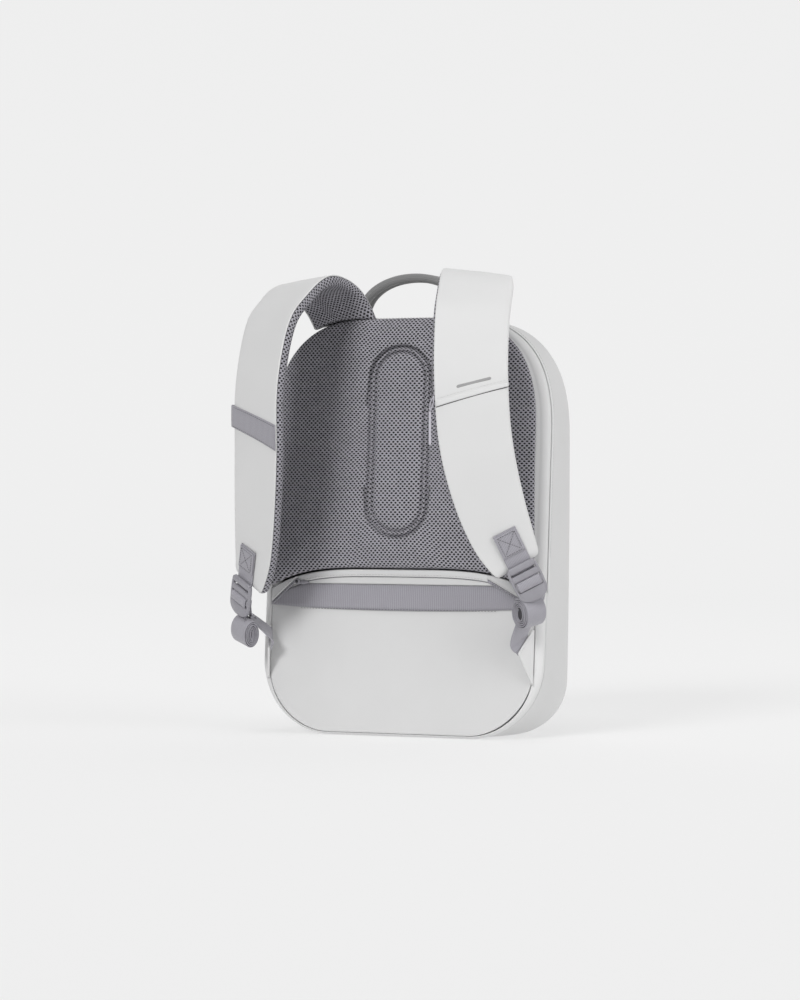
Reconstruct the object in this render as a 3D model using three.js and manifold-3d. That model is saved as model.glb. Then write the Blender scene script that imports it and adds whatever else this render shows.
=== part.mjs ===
import * as THREE from 'three';
import Module from 'manifold-3d';
import { mergeVertices } from 'three/addons/utils/BufferGeometryUtils.js';

// Laptop backpack with a semi-rigid white body, in millimetres.
// +Z is up, -Y is the side that lies against the wearer's back, +X is to the right as that side is looked at.
// The origin is the middle of the flat bottom that the bag stands on.

// Body
const BAG_HEIGHT = 430;
const BAG_WIDTH = 310;
const BAG_DEPTH = 130;
const BACK_LEAN = 38;
const WALL = 2.5;
const GAP = 0.4;
const EDGE_GAP = 0.7;
const TOP_CORNER_WIDTH = 108;
const TOP_CORNER_HEIGHT = 122;
const FOOT_CORNER = 78;
const FOOT_CORNER_LEAST = 20;
const FRONT_ROUND = 52;
const FRONT_FOOT_ROUND = 26;
const FRONT_DOME = 7;

// Rim round the back opening
const RIM_SIDE = 9;
const RIM_TOP = 2;
const RIM_FOOT = 3;
const RIM_DEPTH = 8;

// Main zip's covering lip
const ZIP_LIP_WIDTH = 4.6;
const ZIP_LIP_THICKNESS = 1.3;
const ZIP_END_HEIGHT = 130;

// Mesh back pad with its sewn channel
const PAD_HALF_WIDTH = 147.5;
const PAD_CROWN = 22;
const PAD_FOOT = 173;
const PAD_FOOT_DROP = 23;
const PAD_FOOT_CORNER = 12;
const CHANNEL_HALF_WIDTH = 33;
const CHANNEL_HEIGHT = 196;
const CHANNEL_MIDDLE = 303;
const CHANNEL_RIB = 5.6;
const CHANNEL_DEPTH = 4;

// Lower pocket panel and what is sewn on it
const PANEL_DOME = 7;
const PANEL_THICKNESS = 3;
const HEM_WIDTH = 9;
const HEM_THICKNESS = 1.6;
const ZIP_WIDTH = 3.4;
const ZIP_THICKNESS = 1.2;
const POCKET_HALF_WIDTH = 122;
const SLIDER_LENGTH = 13;
const BAND_TOP = 156;
const BAND_WIDTH = 27;
const BAND_THICKNESS = 1.6;
const FLAP_WIDTH = 17;
const FLAP_THICKNESS = 1.6;

// Handle
const HANDLE_HALF_SPAN = 58;
const HANDLE_RISE = 41;
const HANDLE_WIDTH = 22;
const HANDLE_THICKNESS = 9;
const HANDLE_BACK = 4;

// Shoulder straps
const STRAP_WIDTH = 74;
const STRAP_COVER = 3;
const STRAP_PADDING = 8;
const STRAP_BOW = 130;
const STRAP_SAG_LEFT = 20;
const SHOULDER_RISE = 47;
const SHOULDER_RISE_LEFT = 43;
const STRAP_SLANT = 8.5;
const STRAP_BAND_WIDTH = 24;
const STRAP_BAND_HEIGHT = 318;
const STRAP_TRIM = 1.4;
const STRAP_HEM_WIDTH = 5;
const STRAP_HEM_HEIGHT = 348;
const MARK_WIDTH = 3.2;
const MARK_RISE = 9;
const ZIP_PULL_LENGTH = 33;
const ZIP_PULL_WIDTH = 2.6;
const ZIP_PULL_CORD = 1.2;
const ZIP_PULL_DROP = 14;
const ZIP_PULL_OFFSET = 5.6;

// Webbing, buckles and tabs
const WEBBING_WIDTH = 25;
const WEBBING_THICKNESS = 1.5;
const PATCH_LENGTH = 34;
const PATCH_CLEAR = 3;
const BUCKLE_WIDTH = 32;
const BUCKLE_LENGTH = 41;
const BUCKLE_THICKNESS = 4;
const BUCKLE_SLOT = 2.6;
const BUCKLE_BAR = 6.5;
const BUCKLE_DROP = 13;
const BUCKLE_TURN = -4;
const ROLL_TURNS = 3.4;
const ROLL_RADIUS = 14.5;
const ROLL_FLATNESS = 4.5;
const ROLL_PLUMB = -10;
const ROLL_DROP = 4;
const TAB_FOOT = 56;
const TAB_LENGTH = 56;
const TAB_APEX = 33.4;
const TAB_REACH = 23;
const TAB_LEAN = 22;
const TAB_SLOPE = 43;
const TAB_THICKNESS = 2.2;
const TAB_LAP = 4;
const TAB_RUN = 7.5;

const HALF_WIDTH = BAG_WIDTH / 2;
const OUTLINE_POWER = 2.5;
const DEGREE = Math.PI / 180;
const lerp = THREE.MathUtils.lerp;
const vector = (x, y, z) => new THREE.Vector3(x, y, z);

const wasm = await Module();
wasm.setup();

const backpack = new THREE.Group();

const FINISHES = {
  white: { color: 0xe4e4e2, roughness: 0.55, metalness: 0 },
  mesh: { color: 0x77777b, roughness: 0.95, metalness: 0 },
  grey: { color: 0x97969d, roughness: 0.8, metalness: 0 },
  handle: { color: 0x6c6e6a, roughness: 0.8, metalness: 0 },
  plastic: { color: 0x8d8d92, roughness: 0.45, metalness: 0 },
};

// Adds one named piece to the bag.
function add(name, geometry, finish) {
  const mesh = new THREE.Mesh(geometry, new THREE.MeshStandardMaterial(FINISHES[finish]));
  mesh.name = name;
  backpack.add(mesh);
  return mesh;
}

// Six times the signed volume, which is positive when the triangles face out.
function signedVolume(points, triangles) {
  let sum = 0;
  for (const [a, b, c] of triangles) {
    sum += points[a].dot(points[b].clone().cross(points[c]));
  }
  return sum;
}

function geometryFrom(points, triangles) {
  const outward = signedVolume(points, triangles) > 0;
  const geometry = new THREE.BufferGeometry();
  geometry.setAttribute(
    'position',
    new THREE.Float32BufferAttribute(points.flatMap((p) => [p.x, p.y, p.z]), 3),
  );
  geometry.setIndex(triangles.flatMap(([a, b, c]) => (outward ? [a, b, c] : [a, c, b])));
  return geometry;
}

// Joins rings of equal length into one closed skin. Ends are capped by a fan to a middle point,
// or the last ring joins the first where the skin closes on itself.
function loft(rings, { closed = false } = {}) {
  const count = rings[0].length;
  const points = rings.flat();
  const triangles = [];
  const bands = closed ? rings.length : rings.length - 1;
  for (let band = 0; band < bands; band += 1) {
    const low = band * count;
    const high = ((band + 1) % rings.length) * count;
    for (let i = 0; i < count; i += 1) {
      const j = (i + 1) % count;
      triangles.push([low + i, low + j, high + j], [low + i, high + j, high + i]);
    }
  }
  if (!closed) {
    [0, rings.length - 1].forEach((ring, end) => {
      const pole = points.push(centre(rings[ring])) - 1;
      const start = ring * count;
      for (let i = 0; i < count; i += 1) {
        const j = (i + 1) % count;
        triangles.push(end === 0 ? [pole, start + j, start + i] : [pole, start + i, start + j]);
      }
    });
  }
  return geometryFrom(points, triangles);
}

function centre(ring) {
  const sum = ring.reduce((total, p) => total.add(p), vector(0, 0, 0));
  return sum.divideScalar(ring.length);
}

// Half of a rounded outline in X and Z, from the middle of the foot round the right side to the top.
const FOOT_STEPS = 9;
const SIDE_STEPS = 4;
const TOP_STEPS = 9;
const corner = (share) => Math.pow(share, 2 / OUTLINE_POWER);

function halfOutline({ half, foot, top, footCorner, topWidth, topHeight }) {
  const points = [];
  for (let i = 0; i <= FOOT_STEPS; i += 1) {
    const angle = (i / FOOT_STEPS) * 90 * DEGREE;
    points.push([
      half - footCorner + footCorner * Math.sin(angle),
      foot + footCorner - footCorner * Math.cos(angle),
    ]);
  }
  const sideFoot = foot + footCorner;
  const sideTop = top - topHeight;
  for (let i = 1; i < SIDE_STEPS; i += 1) {
    points.push([half, lerp(sideFoot, sideTop, i / SIDE_STEPS)]);
  }
  for (let i = 0; i <= TOP_STEPS; i += 1) {
    const angle = (i / TOP_STEPS) * 90 * DEGREE;
    points.push([
      half - topWidth + topWidth * corner(Math.cos(angle)),
      sideTop + topHeight * corner(Math.sin(angle)),
    ]);
  }
  return points;
}

function outline(shape) {
  const right = halfOutline(shape);
  const left = right.map(([x, z]) => [-x, z]).reverse();
  return [...right, ...left];
}

// The body's outline. rim is 1 at the seam with the back panels and 0 on the side wall,
// inset draws it in all round, and round is the share of the front edge's rounding.
function bodyOutline({ rim = 0, inset = 0, round = 0 }) {
  const side = rim * RIM_SIDE + inset + round * FRONT_ROUND;
  const foot = rim * RIM_FOOT + inset + round * FRONT_FOOT_ROUND;
  const crown = rim * RIM_TOP + inset + round * FRONT_ROUND;
  return outline({
    half: HALF_WIDTH - side,
    foot,
    top: BAG_HEIGHT - crown,
    footCorner: Math.max(FOOT_CORNER - side, FOOT_CORNER_LEAST),
    topWidth: TOP_CORNER_WIDTH - side * 0.7,
    topHeight: TOP_CORNER_HEIGHT - crown * 0.7,
  });
}

// The plane of the seam round the back, which leans away from the wearer.
function backAt(z) {
  return -BAG_DEPTH / 2 + BACK_LEAN * Math.min(z / BAG_HEIGHT, 1.02);
}

// The front is fullest at mid height.
const FRONT_FULLNESS = 0.07;
function frontAt(z) {
  const up = z / BAG_HEIGHT;
  return BAG_DEPTH / 2 - FRONT_FULLNESS * BAG_DEPTH * Math.pow(Math.abs(2 * up - 0.9), 2.2);
}

// depth is the distance behind the seam plane at the foot. It shrinks with the bag's depth higher up,
// but keeps its size up to the rim's depth.
function bodyPoint([x, z], depth) {
  const back = backAt(z);
  if (depth <= RIM_DEPTH + ZIP_LIP_WIDTH + 1) {
    return vector(x, back + depth, z);
  }
  const start = RIM_DEPTH + ZIP_LIP_WIDTH + 1;
  const share = (depth - start) / (BAG_DEPTH - start);
  return vector(x, lerp(back + start, frontAt(z), share), z);
}

const bodyRing = (options, depth) => bodyOutline(options).map((point) => bodyPoint(point, depth));

// Rings from the back opening to the middle of the front, drawn in by inset.
function bodyRings(inset) {
  const rings = [];
  const sideStart = RIM_DEPTH + GAP;
  const sideEnd = BAG_DEPTH - FRONT_ROUND;
  const ROUND_STEPS = 6;
  for (const share of [0, 0.12, 0.5, 1]) {
    rings.push(bodyRing({ inset }, lerp(sideStart, sideEnd, share)));
  }
  for (let i = 1; i <= ROUND_STEPS; i += 1) {
    const angle = (i / ROUND_STEPS) * 80 * DEGREE;
    const depth = sideEnd + (FRONT_ROUND - inset) * Math.sin(angle);
    rings.push(bodyRing({ inset, round: 1 - Math.cos(angle) }, depth));
  }
  return rings;
}

function shrunk(ring, share, forward) {
  const middle = centre(ring);
  return ring.map((p) => p.clone().lerp(middle, share).add(vector(0, forward, 0)));
}

function makeShell() {
  const outer = bodyRings(0);
  const inner = bodyRings(WALL);
  for (const rings of [outer, inner]) {
    const last = rings[rings.length - 1];
    rings.push(shrunk(last, 0.4, FRONT_DOME * 0.7));
    rings.push(shrunk(last, 0.75, FRONT_DOME * 0.95));
  }
  add('shell', loft([...inner.reverse(), ...outer]), 'white');
}

function makeRim() {
  const depth = RIM_DEPTH;
  const rings = [
    bodyRing({ rim: 1 }, 0),
    bodyRing({ rim: 0.6 }, depth * 0.1),
    bodyRing({ rim: 0.25 }, depth * 0.4),
    bodyRing({ rim: 0 }, depth),
    bodyRing({ rim: 0, inset: WALL }, depth),
    bodyRing({ rim: 0.5, inset: WALL * 0.5 }, depth * 0.6),
    bodyRing({ rim: 1 }, depth * 0.35),
  ];
  add('rim', loft(rings, { closed: true }), 'white');
}

function makeZipLip() {
  const start = RIM_DEPTH + GAP;
  const ringAt = (depth, rise) => bodyRing({ inset: -rise }, depth);
  const corners = [
    ringAt(start, GAP),
    ringAt(start, GAP + ZIP_LIP_THICKNESS),
    ringAt(start + ZIP_LIP_WIDTH, GAP + ZIP_LIP_THICKNESS),
    ringAt(start + ZIP_LIP_WIDTH, GAP),
  ];
  const sections = corners[0]
    .map((_, i) => corners.map((ring) => ring[i]))
    .filter((section) => section[0].z > ZIP_END_HEIGHT);
  add('main_zip_lip', loft(sections), 'white');
}

// The arched line where the mesh pad meets the lower panel.
function padFootAt(x) {
  return PAD_FOOT - PAD_FOOT_DROP * Math.pow(Math.abs(x) / PAD_HALF_WIDTH, 4);
}

function padOutline() {
  return outline({
    half: PAD_HALF_WIDTH,
    foot: PAD_FOOT - PAD_FOOT_DROP,
    top: BAG_HEIGHT,
    footCorner: PAD_FOOT_CORNER,
    topWidth: TOP_CORNER_WIDTH - 3,
    topHeight: TOP_CORNER_HEIGHT - 2,
  });
}

// Where a ray from a middle point at an angle leaves an outline.
function rayPoint(points, middle, angle) {
  const direction = [Math.cos(angle), Math.sin(angle)];
  let far = 0;
  points.forEach(([x0, z0], i) => {
    const [x1, z1] = points[(i + 1) % points.length];
    const [ex, ez] = [x1 - x0, z1 - z0];
    const cross = direction[0] * ez - direction[1] * ex;
    if (Math.abs(cross) < 1e-9) return;
    const [dx, dz] = [x0 - middle[0], z0 - middle[1]];
    const along = (dx * ez - dz * ex) / cross;
    const edge = (dx * direction[1] - dz * direction[0]) / cross;
    if (edge >= -1e-9 && edge <= 1 + 1e-9) far = Math.max(far, along);
  });
  return far;
}

function stadium(halfWidth, height) {
  const points = [];
  const STEPS = 10;
  for (const [side, start] of [[1, 0], [-1, 180]]) {
    for (let i = 0; i <= STEPS; i += 1) {
      const angle = (start + (i / STEPS) * 180) * DEGREE;
      points.push([
        halfWidth * Math.cos(angle),
        CHANNEL_MIDDLE + side * (height / 2 - halfWidth) + halfWidth * Math.sin(angle),
      ]);
    }
  }
  return points;
}

// The pad swells from its edge to the channel. The channel is two grooves with a rib between them.
const PAD_PROFILE = [
  { toward: 0, proud: 0.02 },
  { toward: 0, proud: 0.26 },
  { toward: 0.035, proud: 0.46 },
  { toward: 0.16, proud: 0.7 },
  { toward: 0.42, proud: 0.9 },
  { toward: 0.8, proud: 1 },
];
const CHANNEL_PROFILE = [
  { inward: -0.45, low: 0 },
  { inward: 0, low: 1 },
  { inward: 0.5, low: 0.25 },
  { inward: 1, low: 0.85 },
  { inward: 1.6, low: 0 },
  { inward: 3.2, low: -0.3 },
];
const PAD_POINTS = 56;

function padEdgeOutline() {
  const upper = padOutline().filter(([, z]) => z > PAD_FOOT - PAD_FOOT_DROP + PAD_FOOT_CORNER);
  const lower = [];
  const FOOT_POINTS = 12;
  for (let i = 1; i < FOOT_POINTS; i += 1) {
    const x = lerp(-PAD_HALF_WIDTH + 4, PAD_HALF_WIDTH - 4, i / FOOT_POINTS);
    lower.push([x, padFootAt(x)]);
  }
  lower.unshift([-PAD_HALF_WIDTH + 1, padFootAt(PAD_HALF_WIDTH)]);
  lower.push([PAD_HALF_WIDTH - 1, padFootAt(PAD_HALF_WIDTH)]);
  return [...upper, ...lower];
}

function makeBackPad() {
  const middle = [0, CHANNEL_MIDDLE];
  const edge = padEdgeOutline();
  const rings = [];
  const ringAt = (radiusAt, proud) => {
    const ring = [];
    for (let i = 0; i < PAD_POINTS; i += 1) {
      const angle = (i / PAD_POINTS) * 360 * DEGREE;
      const radius = radiusAt(angle);
      const x = radius * Math.cos(angle);
      const z = middle[1] + radius * Math.sin(angle);
      ring.push(vector(x, backAt(z) - proud, z));
    }
    return ring;
  };
  const groove = stadium(CHANNEL_HALF_WIDTH, CHANNEL_HEIGHT);
  const swell = PAD_CROWN + GAP;
  for (const { toward, proud } of PAD_PROFILE) {
    const radiusAt = (angle) =>
      lerp(rayPoint(edge, middle, angle), rayPoint(groove, middle, angle), toward);
    rings.push(ringAt(radiusAt, GAP + proud * swell));
  }
  for (const { inward, low } of CHANNEL_PROFILE) {
    const inset = inward * CHANNEL_RIB;
    const shape = stadium(CHANNEL_HALF_WIDTH - inset, CHANNEL_HEIGHT - 2 * inset);
    const radiusAt = (angle) => rayPoint(shape, middle, angle);
    rings.push(ringAt(radiusAt, GAP + swell - low * CHANNEL_DEPTH));
  }
  add('back_pad', loft(rings), 'mesh');
}

// The lower panel's outer face, domed between its edges.
const PANEL_HALF_WIDTH = HALF_WIDTH - RIM_SIDE - EDGE_GAP;
const panelTopAt = (x) => padFootAt(x) - 2 * EDGE_GAP;

function panelSurface(x, z) {
  const across = 1 - Math.pow(Math.abs(x) / PANEL_HALF_WIDTH, 4);
  const up = THREE.MathUtils.clamp((z - RIM_FOOT) / (PAD_FOOT - RIM_FOOT), 0, 1);
  const rise = Math.sqrt(Math.sin(Math.PI * Math.min(up * 0.62 + 0.02, 1)));
  return backAt(z) - PANEL_DOME * Math.max(across, 0) * rise;
}

// The panel's half width at a height, from the round corners of the foot.
function panelHalfAt(z) {
  const radius = FOOT_CORNER - RIM_SIDE;
  const low = RIM_FOOT + EDGE_GAP;
  const drop = Math.max(low + radius - z, 0);
  const side = Math.sqrt(Math.max(radius * radius - drop * drop, 0));
  return PANEL_HALF_WIDTH - radius + side;
}

const PANEL_COLUMNS = 16;
const PANEL_ROWS = 12;

function makeLowerPanel() {
  const low = RIM_FOOT + EDGE_GAP;
  const sections = [];
  for (let row = 0; row <= PANEL_ROWS; row += 1) {
    const share = Math.pow(row / PANEL_ROWS, 1.5);
    const front = [];
    const back = [];
    const base = lerp(low, panelTopAt(PANEL_HALF_WIDTH), share);
    const half = panelHalfAt(base);
    for (let column = 0; column <= PANEL_COLUMNS; column += 1) {
      const x = half * Math.sin(lerp(-90, 90, column / PANEL_COLUMNS) * DEGREE);
      const z = lerp(low, panelTopAt(x), share);
      front.push(vector(x, panelSurface(x, z), z));
      back.push(vector(x, panelSurface(x, z) + PANEL_THICKNESS, z));
    }
    sections.push([...front, ...back.reverse()]);
  }
  add('lower_panel', loft(sections), 'white');
}

// A strip that follows the lower panel between two heights, standing off it by lift.
function panelStrip(name, { from, to, topAt, footAt, lift, thickness }, finish) {
  const COLUMNS = 16;
  const sections = [];
  for (let i = 0; i <= COLUMNS; i += 1) {
    const x = lerp(from, to, i / COLUMNS);
    const heights = [footAt(x), lerp(footAt(x), topAt(x), 0.5), topAt(x)];
    const inner = heights.map((z) => vector(x, panelSurface(x, z) - lift, z));
    const outer = heights.map((z) => vector(x, panelSurface(x, z) - lift - thickness, z));
    sections.push([...inner, ...outer.reverse()]);
  }
  add(name, loft(sections), finish);
}

function makePocket() {
  const zipFoot = (x) => panelTopAt(x) - HEM_WIDTH - GAP - ZIP_WIDTH;
  panelStrip('pocket_hem', {
    from: -POCKET_HALF_WIDTH,
    to: POCKET_HALF_WIDTH,
    topAt: (x) => panelTopAt(x) - GAP,
    footAt: (x) => panelTopAt(x) - HEM_WIDTH,
    lift: GAP,
    thickness: HEM_THICKNESS,
  }, 'white');
  panelStrip('pocket_zip', {
    from: -POCKET_HALF_WIDTH,
    to: POCKET_HALF_WIDTH,
    topAt: (x) => panelTopAt(x) - HEM_WIDTH - GAP,
    footAt: zipFoot,
    lift: GAP,
    thickness: ZIP_THICKNESS,
  }, 'grey');
  panelStrip('luggage_band', {
    from: -PANEL_HALF_WIDTH + 1,
    to: PANEL_HALF_WIDTH - 1,
    topAt: (x) => Math.min(BAND_TOP, zipFoot(x) - GAP),
    footAt: (x) => BAND_TOP - BAND_WIDTH + 4 * Math.pow(x / PANEL_HALF_WIDTH, 2),
    lift: GAP,
    thickness: BAND_THICKNESS,
  }, 'grey');
  const lift = GAP + BAND_THICKNESS + GAP;
  for (const [side, sign] of [['left', -1], ['right', 1]]) {
    panelStrip(`corner_flap_${side}`, {
      from: sign * (POCKET_HALF_WIDTH + GAP),
      to: sign * (PANEL_HALF_WIDTH - 1),
      topAt: (x) => panelTopAt(x) - GAP,
      footAt: (x) => panelTopAt(x) - GAP - FLAP_WIDTH,
      lift,
      thickness: FLAP_THICKNESS,
    }, 'white');
  }
  const x = -POCKET_HALF_WIDTH + SLIDER_LENGTH;
  panelStrip('pocket_slider', {
    from: x - SLIDER_LENGTH / 2,
    to: x + SLIDER_LENGTH / 2,
    topAt: (along) => panelTopAt(along) - HEM_WIDTH * 0.6,
    footAt: (along) => zipFoot(along) - 1,
    lift: GAP + HEM_THICKNESS + GAP,
    thickness: 2,
  }, 'plastic');
}

// Sweeps a flat section along stations. Each station has a point p, a width direction u and a
// face direction n, and section gives [share of half width, distance along n] pairs.
function sweep(stations, section) {
  return loft(stations.map(({ p, u, n, width }) =>
    section.map(([across, out]) =>
      p.clone().addScaledVector(u, (across * width) / 2).addScaledVector(n, out)),
  ));
}

const ribbon = (low, high) => [[-1, low], [1, low], [1, high], [-1, high]];

// The body's top edge at a distance from the middle.
function topAt(x) {
  const reach = Math.max(Math.abs(x) - (HALF_WIDTH - TOP_CORNER_WIDTH), 0) / TOP_CORNER_WIDTH;
  const fall = Math.pow(1 - Math.pow(Math.min(reach, 1), OUTLINE_POWER), 1 / OUTLINE_POWER);
  return BAG_HEIGHT - TOP_CORNER_HEIGHT * (1 - fall);
}

function makeHandle() {
  const STEPS = 22;
  const foot = topAt(HANDLE_HALF_SPAN - HANDLE_THICKNESS / 2) + ZIP_LIP_THICKNESS + 2 * GAP;
  const y = backAt(BAG_HEIGHT) + HANDLE_BACK + HANDLE_WIDTH / 2;
  const stations = [];
  for (let i = 0; i <= STEPS; i += 1) {
    const angle = (i / STEPS) * 180 * DEGREE;
    const x = -HANDLE_HALF_SPAN * Math.cos(angle);
    const z = foot + HANDLE_RISE * Math.pow(Math.sin(angle), 0.9);
    stations.push({ p: vector(x, y, z) });
  }
  stations.forEach((station, i) => {
    const before = stations[Math.max(i - 1, 0)].p;
    const after = stations[Math.min(i + 1, STEPS)].p;
    const along = after.clone().sub(before).normalize();
    if (i === 0 || i === STEPS) along.set(0, 0, i === 0 ? 1 : -1);
    station.u = vector(0, 1, 0);
    station.n = along.clone().cross(station.u).negate().normalize();
    station.width = HANDLE_WIDTH;
  });
  const t = HANDLE_THICKNESS / 2;
  const section = [
    [-1, -t * 0.55], [-0.6, -t], [-0.12, -t * 0.8], [0.12, -t * 0.8], [0.6, -t], [1, -t * 0.55],
    [1, t * 0.55], [0.6, t], [-0.6, t], [-1, t * 0.55],
  ];
  add('handle', sweep(stations, section), 'handle');
}

// The right strap's run from the top seam, over the shoulder arch and down to its end.
// out is a share of half the bag's width, bow of the strap's bow, up of the bag's height or, above
// it, of the shoulder's rise, yaw turns the face outward, and wide is a share of the strap's width.
const STRAP_ROWS = [
  { out: 0.455, bow: 0.08, up: -0.3, rise: true, yaw: 0, wide: 0.97, sag: 0, roll: -10 },
  { out: 0.53, bow: 0.16, up: 0.45, rise: true, yaw: 4, wide: 0.98, sag: 0, roll: -9 },
  { out: 0.6, bow: 0.33, up: 0.92, rise: true, yaw: 10, wide: 0.99, sag: 0, roll: -8 },
  { out: 0.635, bow: 0.54, up: 1.0, rise: true, yaw: 16, wide: 1, sag: 0, roll: -6 },
  { out: 0.68, bow: 0.76, up: 0.6, rise: true, yaw: 24, wide: 1, sag: 0, roll: -3 },
  { out: 0.71, bow: 0.9, up: 0.995, yaw: 28, wide: 1, sag: 0.05, roll: 0 },
  { out: 0.745, bow: 1.0, up: 0.85, yaw: 29, wide: 1, sag: 0.2, roll: 0 },
  { out: 0.765, bow: 0.92, up: 0.7, yaw: 29, wide: 0.99, sag: 0.45, roll: 0 },
  { out: 0.82, bow: 0.76, up: 0.565, yaw: 29, wide: 0.93, sag: 0.7, roll: 4 },
  { out: 0.885, bow: 0.6, up: 0.47, yaw: 29, wide: 0.83, sag: 0.9, roll: 8 },
  { out: 0.95, bow: 0.49, up: 0.414, yaw: 30, wide: 0.67, sag: 1, roll: 12 },
];
const STRAP_STEPS = 30;

const smooth = (values) => new THREE.CatmullRomCurve3(values, false, 'centripetal');

function strapCourse(side) {
  const rows = STRAP_ROWS.map(({ out, bow, up, rise, yaw, wide, sag, roll }) => {
    const x = out * HALF_WIDTH;
    const base = topAt(x) + GAP;
    const z = (rise ? base + up * side.rise : up * BAG_HEIGHT) - sag * side.sag;
    const y = backAt(z) + STRAP_PADDING - bow * STRAP_BOW;
    return { place: vector(x, y, z), turn: vector(yaw, wide * STRAP_WIDTH, roll) };
  });
  const places = smooth(rows.map((row) => row.place));
  const turns = smooth(rows.map((row) => row.turn));
  const course = (share) => {
    const step = places.getUtoTmapping(share);
    const p = places.getPoint(step);
    const along = places.getTangent(step);
    const { x: yaw, y: width, z: roll } = turns.getPoint(step);
    const u = vector(
      Math.cos(yaw * DEGREE) * Math.cos(roll * DEGREE),
      Math.sin(yaw * DEGREE) * Math.cos(roll * DEGREE),
      Math.sin(roll * DEGREE),
    );
    u.addScaledVector(along, -u.dot(along)).normalize();
    const n = along.clone().cross(u).normalize();
    return { p, u, n, along, width };
  };
  course.total = places.getLength();
  return course;
}

// The share of a strap's length at which its front run passes a height.
function shareAtHeight(course, height) {
  let [low, high] = [0.35, 1];
  for (let i = 0; i < 30; i += 1) {
    const middle = (low + high) / 2;
    if (course(middle).p.z > height) low = middle;
    else high = middle;
  }
  return low;
}

const COVER_SECTION = [
  [-1, 0], [1, 0], [1, STRAP_COVER * 0.45], [0.95, STRAP_COVER * 0.9],
  [0.5, STRAP_COVER], [-0.5, STRAP_COVER], [-0.95, STRAP_COVER * 0.9], [-1, STRAP_COVER * 0.45],
];
const PADDING_SECTION = [
  [-0.98, -GAP], [0.98, -GAP], [1, -STRAP_PADDING * 0.4], [0.9, -STRAP_PADDING * 0.85],
  [0.45, -STRAP_PADDING], [-0.45, -STRAP_PADDING], [-0.9, -STRAP_PADDING * 0.85],
  [-1, -STRAP_PADDING * 0.4],
];

function stretch(course, from, to, steps) {
  const stations = [];
  for (let i = 0; i <= steps; i += 1) {
    stations.push(course(lerp(from, to, i / steps)));
  }
  return stations;
}

// A point on a strap's face, at a share of its length and a share of its half width.
function onStrap(course, share, across, out) {
  const { p, u, n, width } = course(share);
  return p.clone().addScaledVector(u, (across * width) / 2).addScaledVector(n, out);
}

// A band across a strap's face, lower toward the middle of the bag.
function strapBand(course, { middle, length, from = -1, to = 1, low, thickness }) {
  const COLUMNS = 8;
  const sections = [];
  for (let i = 0; i <= COLUMNS; i += 1) {
    const across = lerp(from, to, i / COLUMNS);
    const high = middle - (across * STRAP_SLANT + length / 2) / course.total;
    const foot = high + length / course.total;
    sections.push([
      onStrap(course, high, across, low),
      onStrap(course, high, across, low + thickness),
      onStrap(course, foot, across, low + thickness),
      onStrap(course, foot, across, low),
    ]);
  }
  return loft(sections);
}

function rotated(vectorIn, axis, degrees) {
  return vectorIn.clone().applyAxisAngle(axis, degrees * DEGREE);
}

// The webbing sewn on a strap stands this far from the middle plane between cover and padding.
const PATCH_OUT = STRAP_COVER + 2 * GAP + WEBBING_THICKNESS / 2;
const BEHIND_BUCKLE = BUCKLE_THICKNESS / 2 + GAP + WEBBING_THICKNESS / 2;

// A ladder lock buckle's own plane: u across, v up the strap, n out.
function buckleFrame(course) {
  const { p, along, u, n } = course(1);
  const origin = p.clone()
    .addScaledVector(n, PATCH_OUT + BEHIND_BUCKLE)
    .addScaledVector(along, BUCKLE_DROP);
  const v = rotated(along.clone().negate(), n, BUCKLE_TURN);
  return { origin, u: rotated(u, n, BUCKLE_TURN), v, n };
}

const BUCKLE_TOP = BUCKLE_LENGTH * 0.4;
const BUCKLE_FOOT = BUCKLE_TOP - BUCKLE_LENGTH;
const slotTop = (slot) => BUCKLE_TOP - BUCKLE_BAR - slot * (BUCKLE_BAR + BUCKLE_SLOT);

function buckleGeometry({ origin, u, v, n }) {
  const half = BUCKLE_WIDTH / 2;
  const shape = new THREE.Shape();
  shape.moveTo(-half * 0.9, BUCKLE_TOP);
  shape.lineTo(-half, BUCKLE_TOP - 4);
  shape.lineTo(-half * 0.95, BUCKLE_FOOT * 0.45);
  shape.quadraticCurveTo(-half * 0.85, BUCKLE_FOOT, 0, BUCKLE_FOOT);
  shape.quadraticCurveTo(half * 0.85, BUCKLE_FOOT, half * 0.95, BUCKLE_FOOT * 0.45);
  shape.lineTo(half, BUCKLE_TOP - 4);
  shape.lineTo(half * 0.9, BUCKLE_TOP);
  shape.closePath();
  const slotHalf = WEBBING_WIDTH / 2 + 2 * GAP;
  for (let slot = 0; slot < 3; slot += 1) {
    const high = slotTop(slot);
    const hole = new THREE.Path();
    hole.moveTo(-slotHalf, high);
    hole.lineTo(slotHalf, high);
    hole.lineTo(slotHalf, high - BUCKLE_SLOT);
    hole.lineTo(-slotHalf, high - BUCKLE_SLOT);
    hole.closePath();
    shape.holes.push(hole);
  }
  const geometry = new THREE.ExtrudeGeometry(shape, {
    depth: BUCKLE_THICKNESS,
    bevelEnabled: false,
    curveSegments: 8,
  });
  geometry.translate(0, 0, -BUCKLE_THICKNESS / 2);
  const place = new THREE.Matrix4().makeBasis(u, v, n).setPosition(origin);
  return geometry.applyMatrix4(place);
}

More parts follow.
